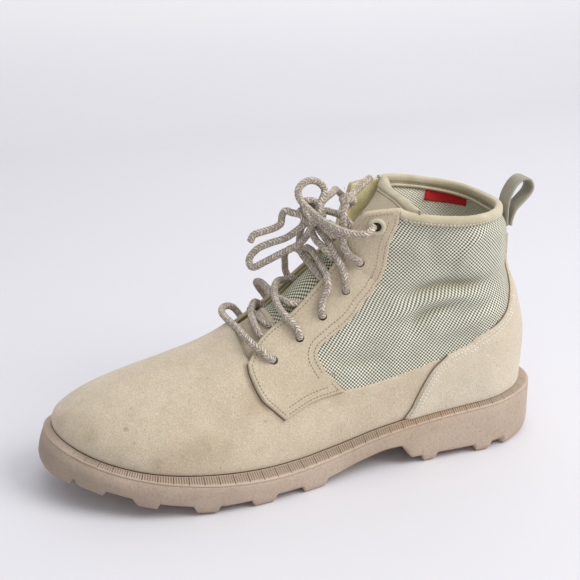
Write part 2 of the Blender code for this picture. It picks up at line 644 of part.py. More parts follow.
def make_crossings(cord):
    """One crossing of the lace between each two pairs of holes, and the bar below them."""
    radius = LACE / 2
    bar = [over_facing(HOLES[0], 1, ON_FACING + radius),
           lifted(np.array(7.6), np.array(throat_turn(7.6, 1)), np.array(ON_FACING + radius + 0.4)),
           lifted(np.array(7.5), np.array(0.0), np.array(2.2)),
           lifted(np.array(7.6), np.array(-throat_turn(7.6, -1)),
                  np.array(ON_FACING + radius + 0.4)),
           over_facing(HOLES[0], -1, ON_FACING + radius)]
    tube("lace_bar", curve_through(bar, 11), radius, 8, cord)
    for level in range(len(HOLES) - 1):
        strands = []
        for side, label in ((1, "lace_crossing_%d" % (level + 1)), (-1, "lace_cutter_%d" % level)):
            route = strand_points(HOLES[level], HOLES[level + 1], side)
            strands.append(tube(label, curve_through(route, 10), radius, 7, cord))
        first, second = strands
        join = first.modifiers.new("join", "BOOLEAN")
        join.operation = "UNION"
        join.object = second
        second.hide_render = True
        second.display_type = "WIRE"


def make_eyelet(name, side, metal):
    s, along = EYELETS[side]
    turn = turn_of(along) * side
    centre = lifted(np.array(s), np.array(turn), np.array(ON_FACING))
    out = skin_normal(s, turn)
    first = np.cross(out, (0, 0, 1.0))
    first /= np.linalg.norm(first)
    second = np.cross(out, first)
    angle = np.linspace(0, 2 * math.pi, 20, endpoint=False)
    ring = []
    for a in angle:
        spoke = math.cos(a) * first + math.sin(a) * second
        ring.append([centre + spoke * EYELET_IN, centre + spoke * EYELET_OUT,
                     centre + spoke * (EYELET_OUT - 0.5) + out * EYELET_HEIGHT,
                     centre + spoke * (EYELET_IN + 0.7) + out * EYELET_HEIGHT])
    return loft(name, np.array(ring), metal, closed=True)


def make_pull_loop(webbing):
    """Ribbed webbing standing up from the back of the collar."""
    side_line = [(0, 135.3, 130.5), (0, 135.3, 137.0), (0, 135.6, 143.0), (0, 137.1, 149.0),
                 (0, 140.6, 154.9), (0, 144.9, 158.1), (0, 149.5, 157.4), (0, 151.6, 153.2),
                 (0, 150.0, 149.0), (0, 145.1, 144.1), (0, 140.9, 139.9), (0, 138.6, 134.6),
                 (0, 137.9, 130.5)]
    path = curve_through(side_line, 22)
    ahead = np.gradient(path, axis=0)
    ahead /= np.linalg.norm(ahead, axis=1, keepdims=True)
    out = np.cross(ahead, (1.0, 0, 0))
    half = np.array([LOOP_WIDTH / 2, 0, 0])
    thick = out * LOOP_THICK / 2
    sections = np.stack([path - half - thick, path + half - thick,
                         path + half + thick, path - half + thick], axis=1)
    return loft("pull_loop", sections, webbing)


# free lengths of the lace: each leaves its eyelet for the knot, makes its loops and ends free
BOW = {
    "lace_bow_outer": (
        (32.3, 40.8, 147.6), (32.5, 35.5, 145.8), (30.2, 29.0, 145.4), (24.0, 22.5, 146.8),
        (16.0, 18.0, 148.6), (9.5, 14.5, 151.0), (5.5, 12.0, 153.5), (1.0, 9.3, 156.5),
        (-1.2, 7.2, 160.2), (-2.5, 7.2, 164.4), (-3.5, 10.5, 167.7), (-4.0, 16.0, 168.7),
        (-3.8, 21.0, 166.2), (-2.6, 23.0, 162.0), (-0.5, 20.2, 157.0), (2.5, 17.0, 151.6),
        (7.0, 17.0, 146.6), (12.5, 20.3, 142.4), (17.0, 24.0, 141.2), (19.0, 26.2, 145.6),
        (19.2, 26.4, 150.5), (18.4, 27.0, 155.0), (15.8, 29.4, 159.6), (11.5, 33.8, 162.3),
        (8.0, 39.1, 164.4), (5.0, 44.6, 167.2), (3.2, 48.6, 168.8)),
    "lace_bow_inner": (
        (-36.6, 51.3, 143.9), (-37.6, 46.5, 147.6), (-36.0, 42.3, 151.8), (-31.0, 39.2, 154.0),
        (-24.0, 35.3, 154.4), (-15.0, 27.6, 154.0), (-7.5, 20.8, 152.0), (-2.5, 15.6, 149.2),
        (-1.0, 11.0, 145.4), (-3.5, 6.2, 140.4), (-7.0, 0.2, 135.4), (-10.8, -8.0, 132.2),
        (-13.3, -15.2, 128.6), (-14.5, -19.8, 122.6), (-13.0, -18.2, 118.0),
        (-10.0, -11.3, 121.6), (-7.0, -3.0, 126.3), (-3.0, 6.0, 131.6), (0.0, 11.4, 138.4),
        (2.6, 12.8, 145.0), (1.6, 10.8, 149.6), (-1.5, 7.2, 150.4), (-4.4, 3.6, 151.0),
        (-6.6, 0.8, 151.8), (-8.4, -0.9, 149.0), (-9.2, -1.8, 143.6), (-10.8, -5.8, 140.8),
        (-12.2, -11.2, 139.2), (-13.6, -16.6, 137.4), (-14.2, -18.8, 133.6)),
}


def make_cord(name, route, cord):
    data = bpy.data.curves.new(name, "CURVE")
    data.dimensions = "3D"
    data.bevel_depth = LACE / 2 * MM
    data.bevel_resolution = 2
    data.use_fill_caps = True
    data.resolution_u = 1
    data.render_resolution_u = 0
    points = (curve_through(route, 36) - np.array([MIDDLE[0], MIDDLE[1], 0])) * MM
    spline = data.splines.new("POLY")
    spline.points.add(len(points) - 1)
    for point, place in zip(spline.points, points):
        point.co = (*place, 1)
    data.materials.append(cord)
    made = bpy.data.objects.new(name, data)
    bpy.context.collection.objects.link(made)
    return made


def main():
    for old in list(bpy.data.objects):
        bpy.data.objects.remove(old, do_unlink=True)
    suede = material("suede", (0.56, 0.47, 0.34), 0.9)
    counter = material("counter_suede", (0.56, 0.47, 0.34), 0.9)
    rubber = material("rubber", (0.42, 0.32, 0.25), 0.75)
    mesh_cloth = material("mesh_cloth", (0.45, 0.44, 0.33), 0.85)
    cloth = material("binding_cloth", (0.52, 0.46, 0.31), 0.9)
    felt = material("insole_felt", (0.30, 0.28, 0.22), 0.95)
    cord = material("lace_cord", (0.33, 0.27, 0.21), 0.8)
    metal = material("eyelet_metal", (0.47, 0.43, 0.30), 0.4)
    webbing = material("loop_webbing", (0.38, 0.35, 0.28), 0.85)
    make_outsole(rubber)
    make_insole(felt)
    make_upper(suede)
    make_tongue(mesh_cloth)
    make_facing("facing_outer", 1, suede)
    make_facing("facing_inner", -1, suede)
    make_counter(counter)
    make_binding(cloth)
    make_crossings(cord)
    make_eyelet("eyelet_outer", 1, metal)
    make_eyelet("eyelet_inner", -1, metal)
    make_pull_loop(webbing)
    for name, route in BOW.items():
        make_cord(name, route, cord)


main()
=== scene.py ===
"""Looks of the left chukka boot: suede and mesh upper, laces, and lugged rubber sole.

Sizes are in millimetres in the boot's working frame: toe to -Y, heel to +Y, outer side +X,
up +Z, the lugs on Z = 0.  They become metres when a mesh is made.  skin(station, turn) is the
outside of the upper: stations run from the toe (0) over the ball, the instep and the heel
seat (13) to the collar (18), and turn runs round the foot, 0 on the ridge, 1 at the outer sole
edge or back seam, -1 at the inner one.  A turn above 1 runs on over the back seam to the inner
side.  "along" is the part of the way from the sole edge or the back seam up to the ridge.
"""
import math

import bmesh
import bpy
import numpy as np
from mathutils import Matrix


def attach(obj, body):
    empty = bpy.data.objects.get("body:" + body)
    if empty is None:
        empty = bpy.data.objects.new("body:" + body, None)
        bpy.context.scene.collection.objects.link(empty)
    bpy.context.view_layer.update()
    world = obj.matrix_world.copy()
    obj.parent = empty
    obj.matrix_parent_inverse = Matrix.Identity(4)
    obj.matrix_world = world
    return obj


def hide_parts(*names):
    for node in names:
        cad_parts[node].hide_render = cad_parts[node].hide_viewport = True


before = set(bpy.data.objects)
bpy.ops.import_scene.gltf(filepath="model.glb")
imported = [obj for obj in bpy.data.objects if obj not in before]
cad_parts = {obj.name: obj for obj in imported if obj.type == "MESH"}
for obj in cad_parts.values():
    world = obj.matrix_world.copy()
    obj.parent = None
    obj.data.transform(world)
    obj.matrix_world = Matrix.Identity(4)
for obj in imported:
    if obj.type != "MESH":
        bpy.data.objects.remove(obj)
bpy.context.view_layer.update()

MM = 0.001
MIDDLE = np.array([-0.1, 1.3, 0.0])   # middle of the boot in the working frame
WALL = 2.4                  # wall of the upper with its lining
OVERLAY = 1.1               # leather of the facings and the heel counter
OVERLAY_LIFT = 0.6          # gap under the facings
COUNTER_LIFT = 0.8          # gap under the heel counter
GAP = 0.35                  # between the upper's feather line and the sole
TOE_Y = -141.3
HEEL_Y = 144.6
TOE_LENGTH = 64.0           # length over which the toe rounds off
HEEL_LENGTH = 38.0          # and the heel
HEEL_STATION = 13.0
COLLAR_STATION = 18.0
THROAT_STATION = 6.83
NEAR_THROAT = 22.0          # length in mm of one station just ahead of the throat
BINDING_HALF = (2.4, 3.0)   # half width and half height of the collar's roll
TONGUE = 4.0                # thickness of the padded tongue
LUG = 4.2                   # height of the lugs
LACE = 4.4                  # diameter
PICK = 1.85                 # length of one pick of the braid
PLIES = 6                   # bands of picks round the braid
LACE_SIDES = 18
LACE_STEP = 0.45            # between the rings of points along a lace
FACING_TOP = OVERLAY_LIFT + OVERLAY
COUNTER_TOP = COUNTER_LIFT + OVERLAY - 0.3
SIDES = {1: "outer", -1: "inner"}


# ---- numbers along lines ----
def table(columns, rows):
    """Rows of numbers as one array for each named column."""
    return dict(zip(columns, np.array(rows, float).T))


def smooth(x, xs, ys):
    """Monotone cubic curve through the rows, which never overshoots them."""
    step = np.diff(xs)
    slope = np.diff(ys) / step
    same = slope[:-1] * slope[1:] > 0
    w1 = 2 * step[1:] + step[:-1]
    w2 = step[1:] + 2 * step[:-1]
    safe = np.where(same, [slope[:-1], slope[1:]], 1.0)
    inner = np.where(same, (w1 + w2) / (w1 / safe[0] + w2 / safe[1]), 0.0)
    tangent = np.concatenate([slope[:1], inner, slope[-1:]])
    i = np.clip(np.searchsorted(xs, x) - 1, 0, len(xs) - 2)
    u = np.clip((x - xs[i]) / step[i], 0, 1)
    return ((1 + 2 * u) * (1 - u) ** 2 * ys[i] + u * (1 - u) ** 2 * step[i] * tangent[i]
            + u * u * (3 - 2 * u) * ys[i + 1] + u * u * (u - 1) * step[i] * tangent[i + 1])


def read(rows, name, x):
    """Value of a table's column where its first column is x."""
    return smooth(x, next(iter(rows.values())), rows[name])


def ramp(x, start, end):
    """0 at the start and 1 at the end, straight between them and level outside."""
    return np.clip((x - start) / (end - start), 0, 1)


def span(x, start, end, flank):
    """1 between two places and 0 outside, with flanks of a given width."""
    return np.clip((x - start) / flank + 0.5, 0, 1) * np.clip((end - x) / flank + 0.5, 0, 1)


def eased(u):
    return u * u * (3 - 2 * u)


def rounded(u, power=2.0):
    """Quarter of a superellipse: 0 at u = 0, 1 from u = 1."""
    return np.sqrt(1 - (1 - np.clip(u, 0, 1)) ** power)


def unit(vectors):
    """The same directions with length one."""
    return vectors / np.linalg.norm(vectors, axis=-1, keepdims=True)


def headings(line):
    """Directions in which a line runs at its points."""
    return unit(np.gradient(line, axis=0))


def running(line):
    """Length along a line from its start to each of its points."""
    return np.append(0, np.cumsum(np.linalg.norm(np.diff(line, axis=0), axis=1)))


def points_at(places, length, line):
    """Points at places along a line, whose own points lie at the given lengths."""
    return np.stack([np.interp(places, length, column) for column in line.T], -1)


def curve_through(points, count):
    """Evenly spaced points on a smooth curve through the given ones."""
    knots = np.array(points, float)
    padded = np.vstack([2 * knots[0] - knots[1], knots, 2 * knots[-1] - knots[-2]])
    u = np.linspace(0, 1, 24, endpoint=False)[:, None]
    fine = [0.5 * (2 * b + (c - a) * u + (2 * a - 5 * b + 4 * c - d) * u ** 2
                   + (3 * b - a - 3 * c + d) * u ** 3)
            for a, b, c, d in zip(padded, padded[1:], padded[2:], padded[3:])]
    fine = np.vstack(fine + [knots[-1:]])
    length = running(fine)
    return points_at(np.linspace(0, length[-1], count), length, fine)


def spokes(angle, first, second):
    """Directions at angles between two directions, or between each pair of two rows of them."""
    return (np.cos(angle)[:, None] * first[..., None, :]
            + np.sin(angle)[:, None] * second[..., None, :])


# ---- shape of the last, as in the CAD ----
# lower edge of the upper, from toe to heel
FEATHER = table(("y", "z"), (
    (-153, 41.5), (-143, 38.5), (-136, 36.2), (-125, 32.8), (-113, 29.8), (-101, 27.6), (-85, 25),
    (-62, 22.2), (-42, 20.4), (-24, 19.6), (-8, 19.9), (8, 21.4), (24, 23.6), (38, 26.3),
    (58, 29.2), (77, 31.2), (98, 33), (116, 34.4), (133, 35.6), (153, 37)))


def feather(y):
    return read(FEATHER, "z", y)


SEAT_Z = float(feather(HEEL_Y))
# sections: ends of the back line and of the ridge, middle, half widths, and fullness
LAST = table(("station", "back_y", "back_z", "front_y", "front_z",
              "centre_x", "outer_w", "inner_w", "round_p", "belly"), (
    (0, -141.3, 38, -141.3, 41, -13, 49, 40, 2.6, 0.03),
    (1, -138.4, 37, -138.6, 45.3, -13, 49, 40, 2.6, 0.03),
    (2, -130, 34.4, -130.8, 50.8, -12, 49, 40, 2.5, 0.03),
    (3, -115.5, 30.5, -115.5, 58.6, -9.5, 49, 41, 2.3, 0.03),
    (4, -95, 26.5, -95, 66, -7, 51, 42.5, 2.1, 0.03),
    (5, -70, 23.1, -72, 73.3, -4.5, 52, 43.5, 2, 0.03),
    (6, -45, 20.6, -50, 81.3, -2.5, 50, 43.5, 1.9, 0.03),
    (7, -21, 19.6, -33, 91, -1.5, 46, 40.5, 1.85, 0.03),
    (8, 4, 20.9, -23, 100, -1, 41, 36, 1.85, 0.04),
    (9, 33, 25, -12, 110.5, -1, 37, 33.5, 2, 0.05),
    (10, 65, 29.2, -2, 121, -1, 35.5, 33, 2.3, 0.06),
    (11, 98, 31.6, 6, 129, -0.5, 34.5, 33, 2.7, 0.06),
    (12, 128, 34, 11, 134.8, 0, 34, 33.5, 3.1, 0.06),
    (13, 144.6, SEAT_Z, 13.3, 138, 0, 34, 34, 3.3, 0.05),
    (14, 145.9, 64, 15.3, 141, 0, 34.5, 34.5, 3.5, 0.03),
    (15, 140.9, 91, 17, 144.2, 0, 35, 35, 3.6, 0.00),
    (16, 133.8, 112, 18.3, 147, 0, 35.5, 35.5, 3.8, 0.00),
    (17, 134, 131, 19.3, 149.5, 0, 36, 36.5, 4, 0.00),
    (18, 129, 148.5, 20, 152, 0, 36.5, 37.5, 4.2, 0.00)))
# rise of the collar's top line on each side
COLLAR = table(("along", "outer", "inner"), (
    (0, 0, 0), (0.09, 0, 2.4), (0.2, 0, 4.2), (0.3, 0, 5.8), (0.39, 0.5, 7.3), (0.48, 1.5, 8.5),
    (0.55, 2.7, 8.3), (0.6, 3.6, 7.6), (0.65, 5.2, 7.1), (0.69, 7.1, 6.6), (0.75, 6.5, 5.9),
    (0.87, 4, 3.2), (1, 0, 0)))
# sole: ledge beyond the upper, fall of the welt, height between the lugs, and shape of the wall
SOLE = table(("y", "ledge_out", "ledge_in", "drop", "floor", "taper", "bevel"), (
    (-141.3, 7.2, 7.4, 2.6, 19.4, -1.8, 6.5), (-131, 6.8, 8.2, 2.5, 19.6, -0.6, 4),
    (-115, 6.4, 7.4, 2.7, 15.4, 1, 3), (-97, 6, 6.4, 2.9, 10.9, 1.8, 2.5),
    (-80, 6, 6, 3.1, 7.4, 1.6, 2.5), (-66, 6.4, 6, 3.3, 5.2, 1.4, 2.5),
    (-54, 6.8, 6, 3.4, LUG, 1.2, 2.5), (-30, 7.2, 6, 3.6, LUG, 1.2, 2.5),
    (0, 6.5, 5.5, 3.6, LUG, 1.2, 2.5), (6, 6.3, 5.4, 3.6, 4.8, 1.4, 2),
    (28, 5.5, 5, 3.4, 9.8, 1.6, 2), (48, 5.2, 4.9, 3.3, 13.5, 1.6, 2),
    (54, 5.1, 4.9, 3.3, 13.5, 1.6, 2), (62.5, 5, 4.8, 3.2, LUG, 2.2, 2.5),
    (100, 4.8, 4.8, 3.1, LUG, 2.2, 3), (128, 5.4, 5.4, 3.2, LUG, 2.2, 6),
    (144.6, 8.6, 7.9, 3.6, LUG, 0.4, 11)))
# lugs along each side: from and to
LUGS = ((-150, -131), (-129, -117.5), (-103, -92), (-73, -60.5), (-41, -28), (-10, 5),
        (69, 77.5), (103.8, 113), (122.5, 160))
# short lugs set in from the wall, between the side lugs of the forefoot
INNER_LUGS = ((-113.5, -107), (-87, -79), (-55, -47), (-22.5, -15.5))
ARCH = (5, 63)


def last(name, s):
    return read(LAST, name, s)


def back_line(z):
    """How far back the heel reaches at a height."""
    heights = np.append(-20.0, LAST["back_z"][13:])
    return smooth(z, heights, np.append(LAST["back_y"][13], LAST["back_y"][13:]))


def turn_of(along):
    """Turn of a point given as its part of the way from the back line to the ridge."""
    return np.arccos(2 * np.asarray(along, float) - 1) / math.pi


def along_of(turn):
    """Part of the way from the back line to the ridge at a turn."""
    return 0.5 * (1 + np.cos(math.pi * np.abs(turn)))


def one_round(s, turn):
    """Stations and turns of one shape, the turns from -1 to 1."""
    s, turn = np.broadcast_arrays(np.asarray(s, float), np.asarray(turn, float))
    return s, np.where(np.abs(turn) > 1, turn - 2 * np.sign(turn), turn)


def skin(s, turn):
    """Point on the outside of the upper."""
    s, turn = one_round(s, turn)
    outer = turn >= 0
    along = along_of(turn)
    back_z = last("back_z", s)
    back_y = np.where(s <= HEEL_STATION, last("back_y", s), back_line(back_z))
    back_z = np.where(s <= HEEL_STATION, feather(back_y), back_z)
    y = back_y + (last("front_y", s) - back_y) * along
    z = back_z + (last("front_z", s) - back_z) * along
    rise = np.where(outer, read(COLLAR, "outer", along), read(COLLAR, "inner", along))
    z = z + rise * ramp(s, 14, 18) ** 1.5
    width = (np.where(outer, last("outer_w", s), last("inner_w", s))
             * rounded((back_y - TOE_Y) / TOE_LENGTH, 2.3)
             * rounded((back_line(z) - y) / HEEL_LENGTH)
             * np.sqrt(np.clip(1 - along ** last("round_p", s), 0, 1))
             * (1 + last("belly", s) * np.sin(math.pi * along ** 0.6)))
    return np.stack([last("centre_x", s) + np.where(outer, 1, -1) * width, y, z], -1)


def skin_normal(s, turn):
    """Outward direction at a point of the upper."""
    s, turn = one_round(s, turn)
    s = np.clip(s, 0.05, COLLAR_STATION - 0.03)
    limit = np.where(s < HEEL_STATION, 0.97, 2.0)
    turn = np.clip(turn, -limit, limit)
    across = skin(s, turn + 0.01) - skin(s, turn - 0.01)
    return unit(np.cross(across, skin(s + 0.03, turn) - skin(s - 0.03, turn)))


def level_out(s, turn):
    """Outward direction at a point of the upper, kept level."""
    return unit(skin_normal(s, turn) * (1, 1, 0))


def lifted(s, turn, lift):
    return skin(s, turn) + skin_normal(s, turn) * np.asarray(lift)[..., None]


def station_at(y):
    """Station whose sole edge lies at y."""
    stations = np.linspace(0, HEEL_STATION, 1301)
    return np.interp(y, last("back_y", stations), stations)


# ---- folds that wear has pressed into the upper ----
# each fold: (height in mm, width in mm, side, points as (station, along))
FOLDS = (
    (-4.4, 4.2, 1, ((12.3, 0.68), (13.5, 0.63), (14, 0.565), (14.5, 0.48), (14.8, 0.375),
                    (15.1, 0.28), (15.4, 0.165))),
    (2.2, 3.4, 1, ((17.6, 0.17), (17, 0.28), (16.4, 0.335), (15.8, 0.375), (15, 0.43))),
    (-1.6, 6.5, 1, ((17.4, 0.55), (16.4, 0.52), (15.4, 0.50), (14.8, 0.47))),
    (-2.9, 3.8, 1, ((14.4, 0.36), (14.1, 0.41), (13.65, 0.495), (12.8, 0.555), (11.7, 0.52),
                    (11.2, 0.44))),
    (2.1, 4, 1, ((10.6, 0.585), (11.7, 0.60), (13.5, 0.57), (14.25, 0.44), (14.9, 0.24))),
    (-1.5, 5, 1, ((8.9, 0.52), (9.45, 0.465), (9.9, 0.43), (10.6, 0.415))),
    (1, 4.5, 1, ((9.2, 0.575), (10.15, 0.56), (11.1, 0.56))),
    (1.3, 4.2, 1, ((11.7, 0.46), (13.4, 0.40), (14.15, 0.27), (14.8, 0.11))),
    (-1.2, 3.6, 1, ((13.1, 0.49), (13.95, 0.365), (14.8, 0.17))),
    (-0.8, 3.5, 1, ((12.9, 0.37), (13.6, 0.27), (14.3, 0.12))),
    (-0.9, 7, 1, ((5.1, 0.62), (5.6, 0.50), (5.9, 0.36), (6.1, 0.24))),
    (0.8, 7.5, 1, ((5.5, 0.66), (6.1, 0.52), (6.5, 0.38), (6.8, 0.22))),
    (-2.8, 5, -1, ((12.2, 0.62), (13.2, 0.55), (14.1, 0.46), (14.7, 0.33), (15.1, 0.18))),
    (1.4, 4.5, -1, ((11.6, 0.56), (13.2, 0.50), (14.1, 0.36), (14.7, 0.20))),
    (1.2, 5, -1, ((17.2, 0.30), (16.2, 0.36), (15.2, 0.40))),
    (-1.5, 4.5, -1, ((11.3, 0.47), (12.6, 0.46), (13.6, 0.36), (14.2, 0.22))),
    (-1, 7, -1, ((5.2, 0.60), (5.7, 0.48), (6, 0.34), (6.2, 0.22))),
)


def fold_lines():
    """Height, width and course of each fold."""
    for height, width, side, knots in FOLDS:
        s, along = np.array(knots).T
        yield height, width, curve_through(skin(s, turn_of(along) * side), 22)


FOLD_LINES = list(fold_lines())


def fold_lift(points):
    """How far the folds push the upper out at each point."""
    flat = points.reshape(-1, 3)
    total = np.zeros(len(flat))
    for height, width, line in FOLD_LINES:
        near = np.full(len(flat), 1e9)
        place = np.zeros(len(flat))
        for k, (a, b) in enumerate(zip(line[:-1], line[1:])):
            ab = b - a
            t = np.clip((flat - a) @ ab / (ab @ ab), 0, 1)
            away = np.linalg.norm(flat - a - t[:, None] * ab, axis=1)
            place = np.where(away < near, (k + t) / (len(line) - 1), place)
            near = np.minimum(away, near)
        ends = 1 - (1 - np.sin(math.pi * place) ** 2) ** 2
        total += height * np.exp(-(near / width) ** 2) * ends
    return total.reshape(points.shape[:-1])


def on_upper(s, turn, lift):
    """Point at a lift off the worn skin, which folds only where no stiff facing holds it."""
    base = skin(s, turn)
    front = smooth(np.asarray(s, float), FACING["rear_s"][4:], FACING["rear_along"][4:])
    free = eased(np.clip((front - along_of(turn)) / 0.07, 0, 1))
    free = np.where(s < THROAT_STATION, 1.0, free)
    return base + skin_normal(s, turn) * (np.asarray(lift) + free * fold_lift(base))[..., None]


def seated(s, turn, lift):
    """As on_upper, but down at the skin's own height along the edge of the sole."""
    place = on_upper(s, turn, lift)
    seat = (s <= HEEL_STATION + 1e-6) & (np.abs(turn) > 1 - 1e-6)
    place[..., 2] = np.where(seat, skin(s, turn)[..., 2], place[..., 2])
    return place


# ---- grids and meshes ----
def pairs(first, second):
    """Every pair of two rows of numbers, as a grid."""
    return np.stack(np.meshgrid(first, second, indexing="ij"), -1)


def lengths(grid):
    """Length in mm to each point of a grid from its first row, and from its first column."""
    return [np.linalg.norm(np.diff(grid, axis=k, prepend=grid.take([0], k)), axis=-1).cumsum(k)
            for k in (0, 1)]


def gap_to_border(grid):
    """Distance in mm from each point of a grid to the grid's border, measured on the grid."""
    i, j = lengths(grid)
    return np.minimum(np.minimum(i, i[-1:] - i), np.minimum(j, j[:, -1:] - j))


def border(grid):
    return np.concatenate([grid[0, :-1], grid[:-1, -1], grid[-1, :0:-1], grid[:0:-1, 0]])


def put(name, data):
    """An object of the scene that shows the data."""
    made = bpy.data.objects.new(name, data)
    bpy.context.collection.objects.link(made)
    return made


class Mesh:
    """Gathers grids of points into one mesh with texture coordinates in millimetres."""

    def __init__(self):
        self.parts = []
        self.count = 0

    def grid(self, points, uv=None, wrap=False, slot=0, mark=0.0, flip=False):
        """A grid of points, joined to itself across when wrap is true."""
        rows, columns = points.shape[:2]
        across = columns if wrap else columns - 1
        if uv is None:
            uv = np.zeros((rows, across + 1, 2))
        i, j = np.meshgrid(np.arange(rows - 1), np.arange(across), indexing="ij")

        def corners(wide, right):
            quads = [i * wide + j, i * wide + right, (i + 1) * wide + right, (i + 1) * wide + j]
            return np.stack(quads, -1).reshape(-1, 4)[:, ::-1 if flip else 1]

        quads = corners(columns, (j + 1) % columns)
        self.parts.append((points.reshape(-1, 3), quads + self.count,
                           uv.reshape(-1, 2)[corners(uv.shape[1], j + 1)],
                           np.full(len(quads), slot),
                           np.broadcast_to(mark, (rows, columns)).ravel()))
        self.count += rows * columns
        return self

    def slab(self, top, bottom, uv=None, slots=(0, 0, 0), mark=0.0):
        """Closed slab between two grids: slots name the materials of top, bottom and edge."""
        self.grid(top, uv, slot=slots[0], mark=mark)
        self.grid(bottom, uv, slot=slots[1], flip=True)
        return self.grid(np.stack([border(bottom), border(top)]), wrap=True, slot=slots[2])

    def fan(self, ring, centre, **settings):
        """Flat sheet from a ring of points to its centre."""
        return self.grid(np.stack([ring, np.repeat(centre[None], len(ring), axis=0)]), **settings)

    def tube(self, path, radius, sides):
        """Round tube along a path; uv runs along it in mm and once round it."""
        ahead = headings(path)
        ups = [np.array((0, 0, 1.0))]
        for direction in ahead:
            ups.append(unit(ups[-1] - direction * np.dot(ups[-1], direction)))
        ups = np.array(ups[1:])
        reach = np.broadcast_to(radius, (len(path), sides))[..., None]
        angle = np.arange(sides) * 2 * math.pi / sides
        ring = path[:, None] + reach * spokes(angle, np.cross(ahead, ups), ups)
        self.grid(ring, pairs(running(path), np.linspace(0, 1, sides + 1)), wrap=True)
        for end, sign in ((0, -1), (-1, 1)):
            tip = sign * ahead[end] * np.mean(reach[end])
            cap = np.stack([ring[end], path[end] + (ring[end] - path[end]) * 0.6 + tip * 0.3,
                            np.repeat((path[end] + tip * 0.4)[None], sides, axis=0)])
            self.grid(cap, wrap=True, flip=sign < 0)
        return self

    def disc(self, centre, out, rings):
        """Round grid of points about a centre: rings of (radius, height)."""
        first = unit(np.cross(out, (0, 0, 1.0)))
        spoke = spokes(np.linspace(0, 2 * math.pi, 48, endpoint=False), first, np.cross(out, first))
        return self.grid(np.array([centre + spoke * r + out * h for r, h in rings]), wrap=True)

    def make(self, name, materials, slot, replaces=(), weld=0.0):
        """The piece of the scene: points closer than weld, in mm, become one."""
        points, faces, uvs, slots, marks = (np.concatenate(part) for part in zip(*self.parts))
        data = bpy.data.meshes.new(name)
        data.vertices.add(len(points))
        data.vertices.foreach_set("co", ((points - MIDDLE) * MM).astype(np.float32).ravel())
        data.loops.add(faces.size)
        data.loops.foreach_set("vertex_index", faces.astype(np.int32).ravel())
        data.polygons.add(len(faces))
        data.polygons.foreach_set("loop_start", np.arange(0, faces.size, 4, dtype=np.int32))
        data.polygons.foreach_set("material_index", slots.astype(np.int32))
        layer = data.uv_layers.new(name="UVMap")
        layer.data.foreach_set("uv", uvs.astype(np.float32).ravel())
        mark = data.attributes.new("mark", "FLOAT", "POINT")
        mark.data.foreach_set("value", marks.astype(np.float32))
        data.update(calc_edges=True)
        data.validate()
        if weld:
            join_close(data, weld * MM)
        data.polygons.foreach_set("use_smooth", np.ones(len(data.polygons), bool))
        for material in materials:
            data.materials.append(material)
        made = put(name, data)
        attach(made, "root")
        if replaces:
            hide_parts(*replaces)
        return made


def join_close(data, distance):
    mesh = bmesh.new()
    mesh.from_mesh(data)
    bmesh.ops.remove_doubles(mesh, verts=mesh.verts, dist=distance)
    mesh.to_mesh(data)
    mesh.free()


def overlay(name, s, turn, outer, inner, materials, slot, replaces, place=on_upper, soft=1.0,
            ripple=0.0, mark=0.0, slots=(0, 0, 0)):
    """Leather laid on the upper, with its top edge rounded over."""
    rise = rounded(gap_to_border(on_upper(s, turn, outer)) / soft)
    lift = inner + (outer - inner) * (0.3 + 0.7 * rise) + ripple
    mesh = Mesh().slab(place(s, turn, lift), place(s, turn, inner), None, slots, mark)
    return mesh.make(name, materials, slot, replaces, weld=0.01)


# ---- materials ----
def darker(colour, share):
    return tuple(c * share for c in colour)


